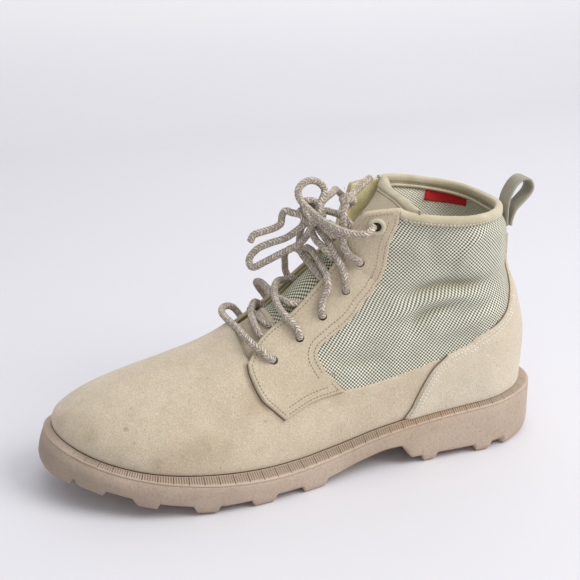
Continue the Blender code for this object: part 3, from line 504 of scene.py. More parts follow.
class Shade:
    """Short calls for the nodes of one material."""

    def __init__(self, name, roughness, sheen=0.0):
        self.made = bpy.data.materials.new(name)
        self.made.use_nodes = True
        self.tree = self.made.node_tree
        self.shader = self.tree.nodes["Principled BSDF"].inputs
        for socket, value in (("Roughness", roughness), ("Sheen Weight", sheen),
                              ("Sheen Roughness", 0.5), ("Specular IOR Level", 0.25)):
            self.join(value, self.shader[socket])

    def join(self, value, socket):
        if isinstance(value, bpy.types.NodeSocket):
            self.tree.links.new(value, socket)
        else:
            socket.default_value = (*value, 1) if isinstance(value, tuple) else value

    def node(self, kind, inputs, **settings):
        """Outputs of a new node with these inputs, given by name or number, and settings."""
        made = self.tree.nodes.new("ShaderNode" + kind)
        for key, value in settings.items():
            setattr(made, key, value)
        for key, value in inputs.items():
            self.join(value, made.inputs[key])
        return made.outputs

    def place(self):
        return self.node("TexCoord", {})["Object"]

    def mark(self):
        return self.node("Attribute", {}, attribute_name="mark")["Fac"]

    def axes(self, vector):
        return self.node("SeparateXYZ", {0: vector})

    def noise(self, vector, scale, detail=2.0, rough=0.5):
        return self.node("TexNoise", {"Vector": vector, "Scale": scale, "Detail": detail,
                                      "Roughness": rough})["Fac"]

    def maths(self, operation, a, b=0.0):
        return self.node("Math", {0: a, 1: b}, operation=operation)[0]

    def times(self, a, b):
        return self.maths("MULTIPLY", a, b)

    def plus(self, a, b):
        return self.maths("ADD", a, b)

    def wave(self, a, b=1.0):
        return self.maths("SINE", self.times(a, b))

    def ramp(self, value, low, high, to_low=0.0, to_high=1.0):
        return self.node("MapRange", {"From Min": low, "From Max": high, "To Min": to_low,
                                      "To Max": to_high, "Value": value},
                         clamp=True, interpolation_type="SMOOTHSTEP")["Result"]

    def mix(self, share, a, b):
        return self.node("Mix", {0: share, 6: a, 7: b}, data_type="RGBA", clamp_factor=True)[2]

    def blend(self, value, low, high, a, b, to_low=0.0, to_high=1.0):
        """Colour a where the value is low, b where it is high, or only shares of b."""
        return self.mix(self.ramp(value, low, high, to_low, to_high), a, b)

    def bump(self, height, distance, strength=1.0, **under):
        return self.node("Bump", {"Strength": strength, "Distance": distance, "Height": height,
                                  **under})["Normal"]

    def paint(self, colour, normal=None):
        self.join(colour, self.shader["Base Color"])
        if normal is not None:
            self.join(normal, self.shader["Normal"])
        return self.made


def suede(name, light, dark, stain_and_shade_colour):
    """Brushed suede: cloudy nap, fine grain, and a darker colour where the mark attribute says,
    which on the vamp holds stains and painted shade.
    """
    shade = Shade(name, 0.92, 0.25)
    place = shade.place()
    cloud = shade.noise(place, 28, 3, 0.55)
    patch = shade.noise(place, 95, 2, 0.6)
    grain = shade.noise(place, 1150, 2, 0.7)
    fine = shade.noise(place, 2300, 1, 0.6)
    tone = shade.plus(shade.times(cloud, 0.5), shade.times(patch, 0.5))
    nap = shade.plus(shade.times(grain, 0.6), shade.times(fine, 0.4))
    speck = shade.ramp(nap, 0.36, 0.64)
    body = shade.blend(tone, 0.36, 0.64, dark, light)
    body = shade.mix(shade.times(speck, 0.34), body, tuple(min(c * 1.30, 0.95) for c in light))
    body = shade.blend(speck, 0.0, 1.0, body, darker(dark, 0.66), 0.34, 0.0)
    body = shade.blend(shade.noise(place, 480, 0, 0.5), 0.78, 0.86, body, stain_and_shade_colour, 0.0, 0.4)
    # the mark darkens the suede: stains, and on the vamp also painted shade by the overlay edges and
    # the welt
    stain_and_shade_share = shade.times(shade.mark(), shade.ramp(patch, 0.3, 0.7, 0.4, 1.4))
    body = shade.mix(shade.maths("MINIMUM", stain_and_shade_share, 0.85), body, stain_and_shade_colour)
    normal = shade.bump(nap, 0.0005, 0.55)
    return shade.paint(body, shade.bump(patch, 0.0012, 0.25, Normal=normal))


def weave(name, light, dark, pitch):
    """Plain weave: pale threads over dark ones, one float for each pitch in mm."""
    shade = Shade(name, 0.7, 0.1)
    uv = shade.axes(shade.node("TexCoord", {})["UV"])
    over = shade.times(*(shade.wave(uv[axis], math.pi / pitch) for axis in "XY"))
    wear = shade.noise(shade.place(), 60)
    shine = shade.plus(over, shade.times(shade.noise(shade.place(), 1100, 1), 0.3))
    between = tuple(0.42 * a + 0.58 * b for a, b in zip(light, dark))
    body = shade.blend(over, -0.7, -0.08, dark, between)
    pale = shade.blend(wear, 0.35, 0.65, light, darker(light, 0.84))
    body = shade.blend(shine, 0.15, 0.7, body, pale)
    # painted shade: olive darkening where the mark attribute says, in the troughs of the folds
    body = shade.mix(shade.mark(), body, (0.235, 0.20, 0.10))
    return shade.paint(body, shade.bump(over, 0.0005, 0.5))


def rubber(name, light, dark, stain_and_shade_colour):
    """Pebbled, dusty rubber, darkened where the mark attribute says: soiling, and painted shade in
    the grooves, under the upper and towards the toe; the darkening turns amber by the heel.
    """
    shade = Shade(name, 0.62)
    place = shade.place()
    pebble = shade.noise(place, 520, 2, 0.6)
    speck = shade.ramp(shade.noise(place, 1100, 1, 0.6), 0.36, 0.64)
    body = shade.blend(shade.noise(place, 35, 2, 0.55), 0.35, 0.65, dark, light)
    body = shade.blend(pebble, 0.3, 0.5, body, stain_and_shade_colour, 0.22, 0.0)
    body = shade.blend(speck, 0.0, 1.0, body, darker(dark, 0.55), 0.22, 0.0)
    back = shade.axes(place)["Y"]
    amber = shade.times(shade.ramp(back, 0.03, 0.055), shade.ramp(back, 0.085, 0.115, 1.0, 0.0))
    # colour of the marked places, soiling and painted shade alike, amber by the heel
    darkened = shade.mix(shade.times(amber, 0.8), stain_and_shade_colour, (0.36, 0.215, 0.10))
    body = shade.mix(shade.maths("MINIMUM", shade.mark(), 0.9), body, darkened)
    return shade.paint(body, shade.bump(pebble, 0.0006, 0.35))


def cloth(name, light, dark, scale=1400.0, sheen=0.3):
    """Matt cloth of fine fibres, darker where the mark attribute says."""
    shade = Shade(name, 0.88, sheen)
    place = shade.place()
    fibre = shade.noise(place, scale, 2, 0.7)
    body = shade.blend(shade.noise(place, 60, 2, 0.6), 0.35, 0.65, dark, light)
    body = shade.blend(fibre, 0.3, 0.55, body, darker(dark, 0.6), 0.35, 0.0)
    body = shade.mix(shade.maths("MINIMUM", shade.mark(), 0.9), body, darker(dark, 0.35))
    return shade.paint(body, shade.bump(fibre, 0.0005, 0.4))


def braid(name, light, dark):
    """Round braided cord: slanted picks that meet in a herringbone, pale ones among dark."""
    shade = Shade(name, 0.78, 0.2)
    uv = shade.axes(shade.node("TexCoord", {})["UV"])
    around = shade.times(uv["Y"], PLIES)
    zigzag = shade.maths("PINGPONG", around, 1.0)
    row = shade.plus(shade.times(uv["X"], 1 / PICK), shade.times(zigzag, 0.9))
    pick, side = (shade.maths("ABSOLUTE", shade.wave(value, math.pi)) for value in (row, around))
    height = shade.times(pick, shade.maths("POWER", side, 0.35))
    number, ply = (shade.maths("FLOOR", value) for value in (row, around))
    turns = shade.plus(shade.times(number, 2.4), shade.times(ply, 1.9))
    worn = shade.plus(shade.times(shade.maths("SINE", turns), 0.16), shade.noise(shade.place(), 220))
    body = shade.blend(worn, 0.3, 0.75, dark, light)
    # painted shade: the cord is much darker where it is low, between the picks
    body = shade.blend(height, 0.1, 0.55, body, darker(dark, 0.45), 0.7, 0.0)
    return shade.paint(body, shade.bump(height, 0.0008, 0.9))


def plain(name, colour, roughness):
    """Paint or shadow of one colour, a little worn."""
    shade = Shade(name, roughness)
    grain = shade.noise(shade.place(), 400, 2, 0.6)
    worn = shade.noise(shade.place(), 90)
    body = shade.blend(worn, 0.35, 0.65, colour, darker(colour, 0.8), 0.0, 0.5)
    return shade.paint(body, shade.bump(grain, 0.0003, 0.3))


SUEDE = suede("suede", (0.65, 0.548, 0.41), (0.555, 0.46, 0.335), (0.30, 0.215, 0.125))
COUNTER_SUEDE = suede("counter_suede", (0.70, 0.61, 0.48), (0.62, 0.53, 0.40), (0.38, 0.28, 0.19))
MESH = weave("quarter_mesh", (0.97, 0.955, 0.785), (0.032, 0.026, 0.01), 1.08)
TONGUE_MESH = weave("tongue_mesh", (0.90, 0.88, 0.66), (0.03, 0.026, 0.012), 1.3)
LINING = weave("lining", (0.99, 0.97, 0.84), (0.56, 0.52, 0.38), 1.05)
EDGE = cloth("cut_edge", (0.66, 0.58, 0.33), (0.54, 0.46, 0.22))
YELLOW = cloth("facing_back", (0.62, 0.56, 0.33), (0.47, 0.41, 0.20), 1200.0, 0.1)
SOCK = weave("sock_cloth", (0.42, 0.40, 0.33), (0.16, 0.15, 0.12), 1.0)
FACING_SUEDE = suede("facing_suede", (0.605, 0.51, 0.372), (0.525, 0.435, 0.31),
                     (0.32, 0.245, 0.155))
RUBBER = rubber("rubber", (0.575, 0.455, 0.36), (0.50, 0.39, 0.30), (0.25, 0.185, 0.135))
BINDING = cloth("binding", (0.60, 0.53, 0.38), (0.50, 0.44, 0.29))
PANEL = cloth("tongue_panel", (0.55, 0.47, 0.335), (0.49, 0.42, 0.29), 2200.0, 0.1)
FELT = cloth("insole_felt", (0.30, 0.28, 0.22), (0.22, 0.20, 0.15), 700.0)
CORD = braid("lace_cord", (0.76, 0.67, 0.55), (0.51, 0.43, 0.345))
METAL = plain("eyelet_paint", (0.60, 0.545, 0.40), 0.38)
WEBBING = cloth("webbing", (0.44, 0.41, 0.33), (0.35, 0.32, 0.25), 1800.0, 0.15)
THREAD = cloth("thread", (0.36, 0.30, 0.21), (0.28, 0.23, 0.15), 3000.0, 0.1)
PALE_THREAD = cloth("pale_thread", (0.88, 0.83, 0.70), (0.76, 0.70, 0.56), 3000.0, 0.1)
LABEL = cloth("label_cloth", (0.80, 0.035, 0.035), (0.70, 0.025, 0.03), 2500.0, 0.1)
# the next two colours are painted shadow: for holes and panel edges, and for the steps at overlay
# edges
HOLE_SHADOW = plain("hole", (0.05, 0.04, 0.028), 0.9)
CREVICE_SHADOW = plain("crevice_shadow", (0.20, 0.15, 0.095), 0.9)


# ---- camera, light and floor ----
def stand(made, place, right, up, back):
    """Puts an object at a place in metres, with its three axes in these directions."""
    made.matrix_world = Matrix([*np.column_stack([right, up, back, place]), (0, 0, 0, 1)])


def make_camera():
    azimuth, pitch, roll = np.radians((72.9, 20.6, -1.43))
    back = np.array([math.sin(azimuth) * math.cos(pitch), -math.cos(azimuth) * math.cos(pitch),
                     math.sin(pitch)])
    right = unit(np.cross(-back, (0, 0, 1.0)))
    up = np.cross(right, -back)
    data = bpy.data.cameras.new("camera")
    data.sensor_width = 36.0
    data.lens = 71.3793
    data.clip_start = 0.01
    data.clip_end = 20.0
    camera = put("camera", data)
    stand(camera, (np.array([595.0, -183.0, 340.0]) - MIDDLE) * MM,
          right * math.cos(roll) + up * math.sin(roll), up * math.cos(roll) - right * math.sin(roll),
          back)
    bpy.context.scene.camera = camera


def area_light(name, place, aim, size, power, colour=(1, 1, 1)):
    data = bpy.data.lights.new(name, "AREA")
    data.shape = "DISK"
    data.size = size
    data.energy = power
    data.color = colour
    back = unit(np.subtract(place, aim))
    right = unit(np.cross((0, 0, 1.0), back))
    stand(put(name, data), place, right, np.cross(back, right), back)


def make_stage():
    """Pale floor that curves up into a plain backdrop, and soft studio light."""
    radius, far, width = 0.25, -1.1, 3.5
    profile = [(2.5, 0.0), (1.0, 0.0), (0.0, 0.0), (far + radius, 0.0)]
    profile += [(far + radius - radius * math.sin(a), radius - radius * math.cos(a))
                for a in np.linspace(0.1, math.pi / 2, 12)]
    profile += [(far, 1.0), (far, 2.6)]
    points = [(x, y, z) for x, z in profile for y in (-width, width)]
    faces = [(2 * i, 2 * i + 1, 2 * i + 3, 2 * i + 2) for i in range(len(profile) - 1)]
    data = bpy.data.meshes.new("floor")
    data.from_pydata(points, [], faces)
    data.polygons.foreach_set("use_smooth", np.ones(len(faces), bool))
    shade = Shade("floor", 0.7)
    grain = shade.noise(shade.place(), 3.0)
    ground = shade.mix(grain, (0.725, 0.715, 0.75), (0.745, 0.735, 0.77))
    wall = shade.mix(grain, (0.93, 0.93, 0.93), (0.95, 0.95, 0.95))
    height = shade.axes(shade.place())["Z"]
    data.materials.append(shade.paint(shade.blend(height, 0.02, 0.3, ground, wall)))
    put("floor", data)
    world = bpy.data.worlds.new("world")
    world.use_nodes = True
    sky = world.node_tree.nodes["Background"].inputs
    sky["Color"].default_value = (0.93, 0.95, 1.0, 1)
    sky["Strength"].default_value = 0.56
    scene = bpy.context.scene
    scene.world = world
    area_light("window", (0.95, 1.15, 1.35), (0, 0, 0.05), 1.2, 24, (1.0, 0.985, 0.96))
    area_light("above", (0.5, 0.25, 1.8), (0, 0, 0.0), 1.6, 9)
    scene.view_settings.view_transform = "Standard"
    scene.view_settings.look = "None"


# ---- laces ----
# free lengths of the lace, from the eyelets through the knot to their ends
BOW = {
    "lace_bow_outer": (
        (32.3, 40.8, 147.6), (32.5, 35.5, 145.8), (30.2, 29, 145.4), (24, 22.5, 146.8),
        (16, 18, 148.6), (9.5, 14.5, 151), (5.5, 12, 153.5), (1, 9.3, 156.5),
        (-1.2, 7.2, 160.2), (-2.5, 7.2, 164.4), (-3.5, 10.5, 167.7), (-4, 16, 168.7),
        (-3.8, 21, 166.2), (-2.6, 23, 162), (-0.5, 20.2, 157), (2.5, 17, 151.6),
        (7, 17, 146.6), (12.5, 20.3, 142.4), (17, 24, 141.2), (19, 26.2, 145.6),
        (19.2, 26.4, 150.5), (18.4, 27, 155), (15.8, 29.4, 159.6), (11.5, 33.8, 162.3),
        (8, 39.1, 164.4), (5, 44.6, 167.2), (3.2, 48.6, 168.8)),
    "lace_bow_inner": (
        (-36.6, 51.3, 143.9), (-37.6, 46.5, 147.6), (-36, 42.3, 151.8), (-31, 39.2, 154),
        (-24, 35.3, 154.4), (-15, 27.6, 154), (-7.5, 20.8, 152), (-2.5, 15.6, 149.2),
        (-1, 11, 145.4), (-3.5, 6.2, 140.4), (-7, 0.2, 135.4), (-10.8, -8, 132.2),
        (-13.3, -15.2, 128.6), (-14.5, -19.8, 122.6), (-13, -18.2, 118),
        (-10, -11.3, 121.6), (-7, -3, 126.3), (-3, 6, 131.6), (0, 11.4, 138.4),
        (2.6, 12.8, 145), (1.6, 10.8, 149.6), (-1.5, 7.2, 150.4), (-4.4, 3.6, 151),
        (-6.6, 0.8, 151.8), (-8.4, -0.9, 149), (-9.2, -1.8, 143.6), (-10.8, -5.8, 140.8),
        (-12.2, -11.2, 139.2), (-13.6, -16.6, 137.4), (-14.2, -18.8, 133.6)),
}


def cord_radius(count, length):
    """Radius along the lace, which swells a little at each pick of the braid."""
    place = np.linspace(0, length, count)[:, None]
    zigzag = 1 - np.abs((np.arange(LACE_SIDES) / LACE_SIDES * PLIES % 2) - 1)
    pick = np.abs(np.sin((place / PICK + 0.9 * zigzag) * math.pi))
    return LACE / 2 * (0.87 + 0.09 * pick ** 0.7)


def lace_point(entry):
    """A place as it stands, in a lace hole, in an eyelet, or tucked under an edge of the throat."""
    if entry[0] == "hole":
        s, along = HOLES[entry[1]]
        return on_upper(s, turn_of(along) * entry[2], FACING_TOP + GAP - 0.6)
    if entry[0] == "eyelet":
        s, along = EYELETS[entry[1]]
        return lifted(s + 0.02, turn_of(along + 0.012) * entry[1], FACING_TOP + 0.3)
    if entry[0] == "under":
        return lifted(entry[1], throat_turn(entry[1], entry[2]) * entry[2], -4.0)
    return np.array(entry, float)


def lace_piece(name, routes, replaces):
    mesh = Mesh()
    for route in routes:
        route = [lace_point(entry) for entry in route]
        length = running(curve_through(route, 60))[-1]
        count = int(length / LACE_STEP)
        mesh.tube(curve_through(route, count), cord_radius(count, length), LACE_SIDES)
    return mesh.make(name, [CORD], "lace_cord", replaces, weld=0.005)


# strands between the facings: which CAD piece they stand for, and their routes
STRANDS = {
    "lace_bar": (
        (("hole", 0, 1), (29.7, -23.4, 80.4), (28.2, -25.3, 82.6), (24, -29.9, 85.9),
         (15, -32.4, 88.2), (6, -33.6, 89.4), (-2, -35.1, 89.8), (-10, -36.4, 90.2),
         (-17, -37, 91.2), (-22, -35, 92), (-26.5, -30.5, 90.8), (-30.5, -25.5, 86.5),
         ("hole", 0, -1)),),
    "lace_crossing_1": (
        (("under", 8.5, -1), (-16, -16.6, 95.2), (-11, -20.1, 94.8), (-2, -23.2, 93.4),
         (5, -24, 92.2), (10, -24.2, 90.8), (16, -23.8, 88.4), ("under", 7.75, 1)),
        (("under", 8, -1), (-12, -21, 92.6), (-5, -20.5, 92), (5, -19.2, 91.6),
         (12, -17.8, 92), ("under", 8.35, 1))),
    "lace_crossing_2": (
        (("hole", 1, 1), (27.3, -3.8, 91), (25.4, -5.5, 94.8), (21, -9.9, 99.8),
         (14, -11.2, 102.2), (6.5, -10.8, 104.8), (1, -9.6, 106.8), (-4.5, -7.6, 108.4),
         (-9, -4.9, 108.9), (-13.5, -1, 107.8), ("under", 10, -1)),
        (("hole", 1, -1), (-31.5, -7, 93.5), (-31, -10.5, 99), (-27, -12.6, 103.4),
         (-22.5, -12, 105.2), (-18, -11.1, 105.2), (-11, -10, 104.4), (-4, -9.1, 103.8),
         (2, -8.2, 103.4), (8, -6.5, 103.6), (14, -3.8, 103.2), ("under", 9.5, 1))),
    "lace_crossing_3": (
        (("hole", 2, 1), (26.6, 10.1, 102.9), (25.4, 11.5, 107.2), (24.6, 14.7, 113.5),
         (23.6, 15.1, 117), (19.5, 15.7, 119.8), (15, 15.3, 122.2), (10, 15, 124.6),
         (5, 14.3, 127), (0, 13.6, 128.6), (-5, 13.4, 128.2), (-11, 15, 126.2),
         ("under", 11.3, -1)),
        (("hole", 2, -1), (-31.6, 7.5, 105.5), (-31, 6.8, 112), (-29, 6.2, 117.6),
         (-25, 7.5, 122), (-20, 9.3, 124.4), (-14, 10.9, 124.2), (-9, 11.6, 122.2),
         (-4, 12.6, 120.4), (2, 13.4, 118.8), (8, 13.8, 117.6), (13, 14, 116.8),
         ("under", 10.7, 1))),
    "lace_crossing_4": (
        (("hole", 3, 1), (27.2, 24.6, 113.6), (26.7, 25, 115.6), (25.3, 24.5, 120.4),
         (23.4, 23.5, 124.8), (21.6, 21.9, 128.6), (17, 20.6, 133.8), (10, 19.1, 137.7),
         (5, 17.9, 140.4), (-1, 17.4, 142.8), (-8, 19.4, 142.6), (-14, 23, 139),
         ("under", 12.9, -1)),
        (("hole", 3, -1), (-30.5, 17, 121), (-27, 15.5, 130), (-20, 15, 138),
         (-12, 14.4, 143.6), (-5, 13.8, 145.6), (0, 13.6, 144.6), (2.4, 13.2, 140.6),
         (6.5, 14.2, 136.6), (11, 15.8, 134.6), (16.5, 17.8, 132), ("under", 12.2, 1)),
        (("hole", 4, 1), (26.3, 31.4, 129), (24.7, 28.8, 130.8), (23.4, 26.4, 133.8),
         (22.6, 25.1, 137.1), (17, 26.1, 139.4), (8, 27.2, 140.4), (-3, 27.6, 140.6),
         (-12, 29, 139.5), ("under", 14.4, -1)),
        ((4, 16.5, 150.5), (1.5, 21.6, 151.6), (3, 26, 150.6), (7, 29.2, 149.6),
         (13, 31.6, 147), ("under", 15.6, 1))),
}
# the knot of the bow, wrapped round the strands that meet in it
KNOT = (
    ((-1.5, 10, 156.8), (2.5, 9.6, 154), (6, 10.6, 150.8), (7.6, 12.8, 149.6), (7.4, 15.2, 150.6),
     (5.4, 17.6, 152.6), (1.6, 18.8, 154.6), (-2.4, 17.6, 156.2), (-4.2, 14.4, 157),
     (-3.6, 11.2, 157.2)),
    ((-3.6, 8.4, 152.6), (0.4, 8.6, 149.4), (4.2, 11.4, 147), (6.4, 15, 147), (5.4, 18.4, 149.2),
     (1, 20, 151.2), (-3.4, 18, 152.6), (-5.2, 13.4, 153.4), (-4.6, 9.6, 153.2)))


def ring_of(centre, first, second, radius, turns, drift):
    """Points of a small coil of lace round a centre, for a knot."""
    angle = np.linspace(0, 2 * math.pi * turns, int(26 * turns))
    first, second = np.array(first), np.array(second)
    shift = np.linspace(-0.5, 0.5, len(angle))[:, None] * drift * np.cross(first, second)
    return np.array(centre) + radius * spokes(angle, first, second) + shift


def make_strands():
    """The crossings, the bow's knot and the knot at the lace's end, which is returned."""
    for name, routes in STRANDS.items():
        lace_piece(name + "_braid", routes, [name])
    lace_piece("lace_knot", KNOT, [])
    end = ring_of((14.6, 30.6, 160.6), (0.80, 0.45, 0.40), (-0.50, 0.86, 0.05), 2.7, 1.9, 4.2)
    other = ring_of((14.8, 30.2, 160.0), (0.30, -0.35, 0.89), (-0.50, 0.80, 0.30), 2.9, 1.2, 2.0)
    return lace_piece("lace_end_knot", [end, other], [])


def make_bows():
    """The free lengths, each from its eyelet through the knot to its own end."""
    end_knot = make_strands()
    for name, route in BOW.items():
        outer = name == "lace_bow_outer"
        route = [lace_point(("eyelet", 1 if outer else -1))] + list(route[1:])
        piece = lace_piece(name + "_braid", [route], [name])
        path = (curve_through(route, 240) - MIDDLE) * MM
        length = running(path)[-1]


# ---- sole ----
def lug_share(y):
    return eased(np.max([span(y, front, back, 2.6) for front, back in LUGS], axis=0))


def sole_outline(count):
    """Evenly spaced points round the upper's lower edge, with outward directions and lengths."""
    s = np.concatenate([np.linspace(0, 1, 200) ** 2 * 0.6, np.linspace(0.62, 12.4, 500),
                        HEEL_STATION - np.linspace(1, 0, 200) ** 2 * 0.58])
    outer, inner = (skin(s, side)[:, :2] for side in SIDES)
    loop = np.concatenate([outer[::-1], inner[1:-1], outer[-1:]])
    length = running(loop)
    even = np.linspace(0, length[-1], count, endpoint=False)
    points = points_at(even, length, loop)
    for _ in range(30):
        points = 0.5 * points + 0.25 * (np.roll(points, 1, 0) + np.roll(points, -1, 0))
    ahead = unit(np.roll(points, -4, 0) - np.roll(points, 4, 0))
    out = np.stack([-ahead[:, 1], ahead[:, 0]], -1)
    return points, out * np.sign(np.sum(out[:, 0] * points[:, 0])), even, length[-1]


def centre_line():
    """Places along the foot, and the middle of the upper's lower edge at each."""
    y = np.linspace(TOE_Y, HEEL_Y, 80)
    s = station_at(y)
    return y, (skin(s, 1)[:, 0] + skin(s, -1)[:, 0]) / 2


GROOVES = 480               # short grooves round the welt, each six points wide
# depth shares of the short grooves, and of the long ones at every sixth of them
SHORT_GROOVES = np.tile([0.0, 0.2, 1.0, 1.0, 0.2, 0.0], GROOVES)
LONG_GROOVES = np.tile([0.0, 0.0, 1.0, 1.0] + [0.0] * 32, GROOVES // 6)


def make_outsole():
    """Welt shelf with its grooves, and the wall with its lugs, from the upper to the tread."""
    edge, out, place, length = sole_outline(6 * GROOVES)
    y = edge[:, 1]
    row = {name: read(SOLE, name, y) for name in SOLE}
    outer_share = ramp(edge[:, 0] - np.interp(y, *centre_line()), -15, 15)
    ledge = row["ledge_in"] + (row["ledge_out"] - row["ledge_in"]) * outer_share
    top = feather(y) - GAP
    floor, taper = row["floor"], row["taper"]
    side_z = floor - LUG * lug_share(y) * (1 - span(y, *ARCH, 2.0))
    bevel = np.maximum(row["bevel"], floor + 1 - side_z)
    wall = ledge - np.where(taper > 0, 0.25 * taper, taper)
    foot = ledge - taper - bevel * 0.4
    set_in = 2.3 * ramp(y, -60, -120)
    rim = ledge - set_in
    rim_drop = row["drop"] - 0.35 * set_in
    fade = ramp(y, -138, -122)
    rows, marks = [], []

    def line(distance, height, mark=0.0):
        point = edge + out * np.broadcast_to(distance, y.shape)[:, None]
        rows.append(np.column_stack([point, height]))
        marks.append(np.broadcast_to(mark, y.shape))

    line(-3.0, top - 0.2)
    # painted shade: the welt is darkened just beside the upper, under its edge
    line(0.25, top - 0.2, 0.7)
    line(0.55, top, 0.35)
    # the shelf, from the upper to its rim, sinks at every groove; the grooves are darkened as
    # painted shade, and the inner part of the shelf is soiled
    for share in (0.0, 0.06, 0.12, 0.38, 0.66, 0.74, 0.82, 0.91, 1.0):
        slope = 0.6 * ramp(share, 0, 0.65) + 0.4 * ramp(share, 0.65, 1)
        long = LONG_GROOVES * (0.03 < share < 0.85)
        cut = np.maximum(SHORT_GROOVES * (0.05 < share < 0.75) * 0.75, long) * fade
        darkened = (0.36 if share < 0.75 else 0.10 if share < 0.9 else 0.0) * np.clip(fade, 0.5, 1)
        line(0.6 + (rim - 0.6) * share - 0.3 * cut, top - rim_drop * slope - 0.9 * cut,
             np.maximum(0.75 * cut + 0.9 * long * fade, darkened))
    for beyond, lower, mark in ((0.05, 0.4, 0.0), (-0.3, 0.65, 0.45), (0.0, 0.95, 0.15)):
        line(rim + beyond, top - rim_drop - lower, mark)
    # the wall, then the round corner of its foot
    start_z = top - rim_drop - 0.95
    end_z = side_z + bevel
    for share in (0.2, 0.45, 0.7, 1.0):
        line((1 - share) ** 2 * rim + 2 * share * (1 - share) * (ledge + 0.35 * set_in)
             + share ** 2 * wall, start_z + (end_z - start_z) * share)
    for angle in np.linspace(0.25, 1, 4) * math.pi / 2:
        line(wall + (foot - wall) * (1 - math.cos(angle)), side_z + bevel * (1 - math.sin(angle)))
    line(foot - 4.5, side_z)
    grid = np.array(rows)
    # darker towards the toe: soiling, and painted shade where less light reaches the toe; stronger
    # lower down the wall
    darkening = 0.08 + ramp(y, 10, -130) * 0.30 + ramp(y, -95, -145) * 0.18
    darkening = darkening * np.clip((top - row["drop"] - grid[..., 2]) / 6, 0.25, 1)
    across = np.append(0, np.cumsum(np.linalg.norm(np.diff(grid, axis=0), axis=2).mean(1)))
    uv = pairs(across, np.append(place, length))[..., ::-1]
    mesh = Mesh().grid(grid, uv, wrap=True, mark=np.maximum(marks, darkening), flip=True)
    tread(mesh, grid[-1])
    mesh.make("outsole_rubber", [RUBBER], "rubber", ["outsole"], weld=0.002)


def tread(mesh, lip):
    """Underside of the sole with its lug rows, up to the wall's lower lip."""
    stations = np.linspace(lip[:, 1].min() + 0.5, lip[:, 1].max() - 0.5, 340)
    outer_side = lip[:, 0] > np.interp(lip[:, 1], *centre_line())
    outer, inner = (np.interp(stations, *part[np.argsort(part[:, 1])][:, 1::-1].T)[:, None]
                    for part in (lip[outer_side], lip[~outer_side]))
    share = np.linspace(0, 1, 50)
    x = outer + (inner - outer) * share
    y = np.broadcast_to(stations[:, None], x.shape)
    blocks = (1 - lug_share(y)) * span(y, -130, 118, 2.5)
    extra = np.max([span(y, front, back, 2.5) for front, back in INNER_LUGS], axis=0)
    # lugs along both sides, blocks along the middle, and short lugs set in between them
    down = np.max([lug_share(y) * (1 - span(share, 0.20, 0.80, 0.03)),
                   blocks * span(share, 0.34, 0.66, 0.03),
                   extra * (span(share, 0.05, 0.24, 0.03) + span(share, 0.76, 0.95, 0.03))], axis=0)
    z = read(SOLE, "floor", y) - LUG * (1 - span(y, *ARCH, 2.0)) * down + 0.04
    mesh.grid(np.stack([x, y, z], -1), np.stack([x, y], -1))


# ---- upper ----
# edge of the throat on each side: along at each station
THROAT = table(("s", "outer", "inner"), (
    (6.83, 0.85, 0.85), (8.05, 0.872, 0.86), (9.03, 0.86, 0.85), (10.4, 0.88, 0.86),
    (11.9, 0.905, 0.87), (14.3, 0.90, 0.84), (16.7, 0.89, 0.79), (18, 0.87, 0.745)))
COLLAR_FRONT = {1: 0.672, -1: 0.55}     # how far along the collar's roll reaches on each side
# facing, from its front to the collar: station at the throat, station and along at its rear
FACING = table(("throat_s", "rear_s", "rear_along"), (
    (6.90, 7.38, 0.335), (7.6, 8.25, 0.36), (8.2, 9.10, 0.330), (8.5, 9.02, 0.41),
    (8.8, 8.95, 0.50), (9.1, 8.97, 0.58), (9.5, 9.15, 0.625), (10, 9.60, 0.643),
    (10.5, 10.3, 0.665), (11.2, 11.2, 0.718), (12, 12, 0.745), (12.9, 12.8, 0.763),
    (14.2, 14, 0.752), (15.4, 15.3, 0.735), (16.8, 16.7, 0.705), (18, 18, 0.680)))
# front edge of the facing, as station and along
FACING_FRONT = ((6.80, 0.80), (6.76, 0.738), (6.80, 0.64), (6.90, 0.54), (7.15, 0.43),
                (7.38, 0.335))
FACING_INSET = -0.004       # the facing laps a little over the edge of the throat
FACING_CORNER = 2           # row of the facing's rear edge with the sharp corner
INNER_REAR = 0.62           # the inner facing's rear edge at the collar
# heel counter, from the sole up: station at the back seam, station and along at its edge
COUNTER = table(("seam_s", "edge_s", "edge_along"), (
    (9.78, 11.68, 0.323), (10.3, 12, 0.330), (10.9, 12.4, 0.3385), (11.3, 12.7, 0.3435),
    (11.6, 12.96, 0.3465), (11.85, 13.28, 0.330), (12.15, 13.46, 0.3085), (12.45, 13.66, 0.277),
    (12.68, 13.86, 0.243), (12.84, 14.05, 0.215), (12.94, 14.25, 0.185), (12.985, 14.45, 0.155),
    (13, 14.7, 0.125), (13.5, 15.03, 0.09), (14.1, 15.35, 0.055), (14.7, 15.6, 0.03),
    (15.3, 15.8, 0.018), (15.9, 16.1, 0.012), (16.5, 16.5, 0.012), (16.85, 16.85, 0.012)))
# front edge of the heel counter, as station and along
COUNTER_FRONT = ((9.78, 0), (9.80, 0.009), (9.90, 0.035), (10.09, 0.078), (10.32, 0.135),
                 (10.67, 0.206), (11.12, 0.273), (11.68, 0.323))
# top edge of the vamp's suede along the sole
VAMP_EDGE = table(("s", "along"), (
    (6.83, 0.85), (7, 0.72), (7.6, 0.50), (8.4, 0.37), (9.118, 0.328), (9.57, 0.3026),
    (10.19, 0.294), (10.85, 0.299), (11.3, 0.31), (11.7, 0.29), (12.2, 0.24), (12.7, 0.22)))


def throat_turn(s, side):
    return turn_of(read(THROAT, SIDES[side], np.maximum(s, THROAT_STATION)))


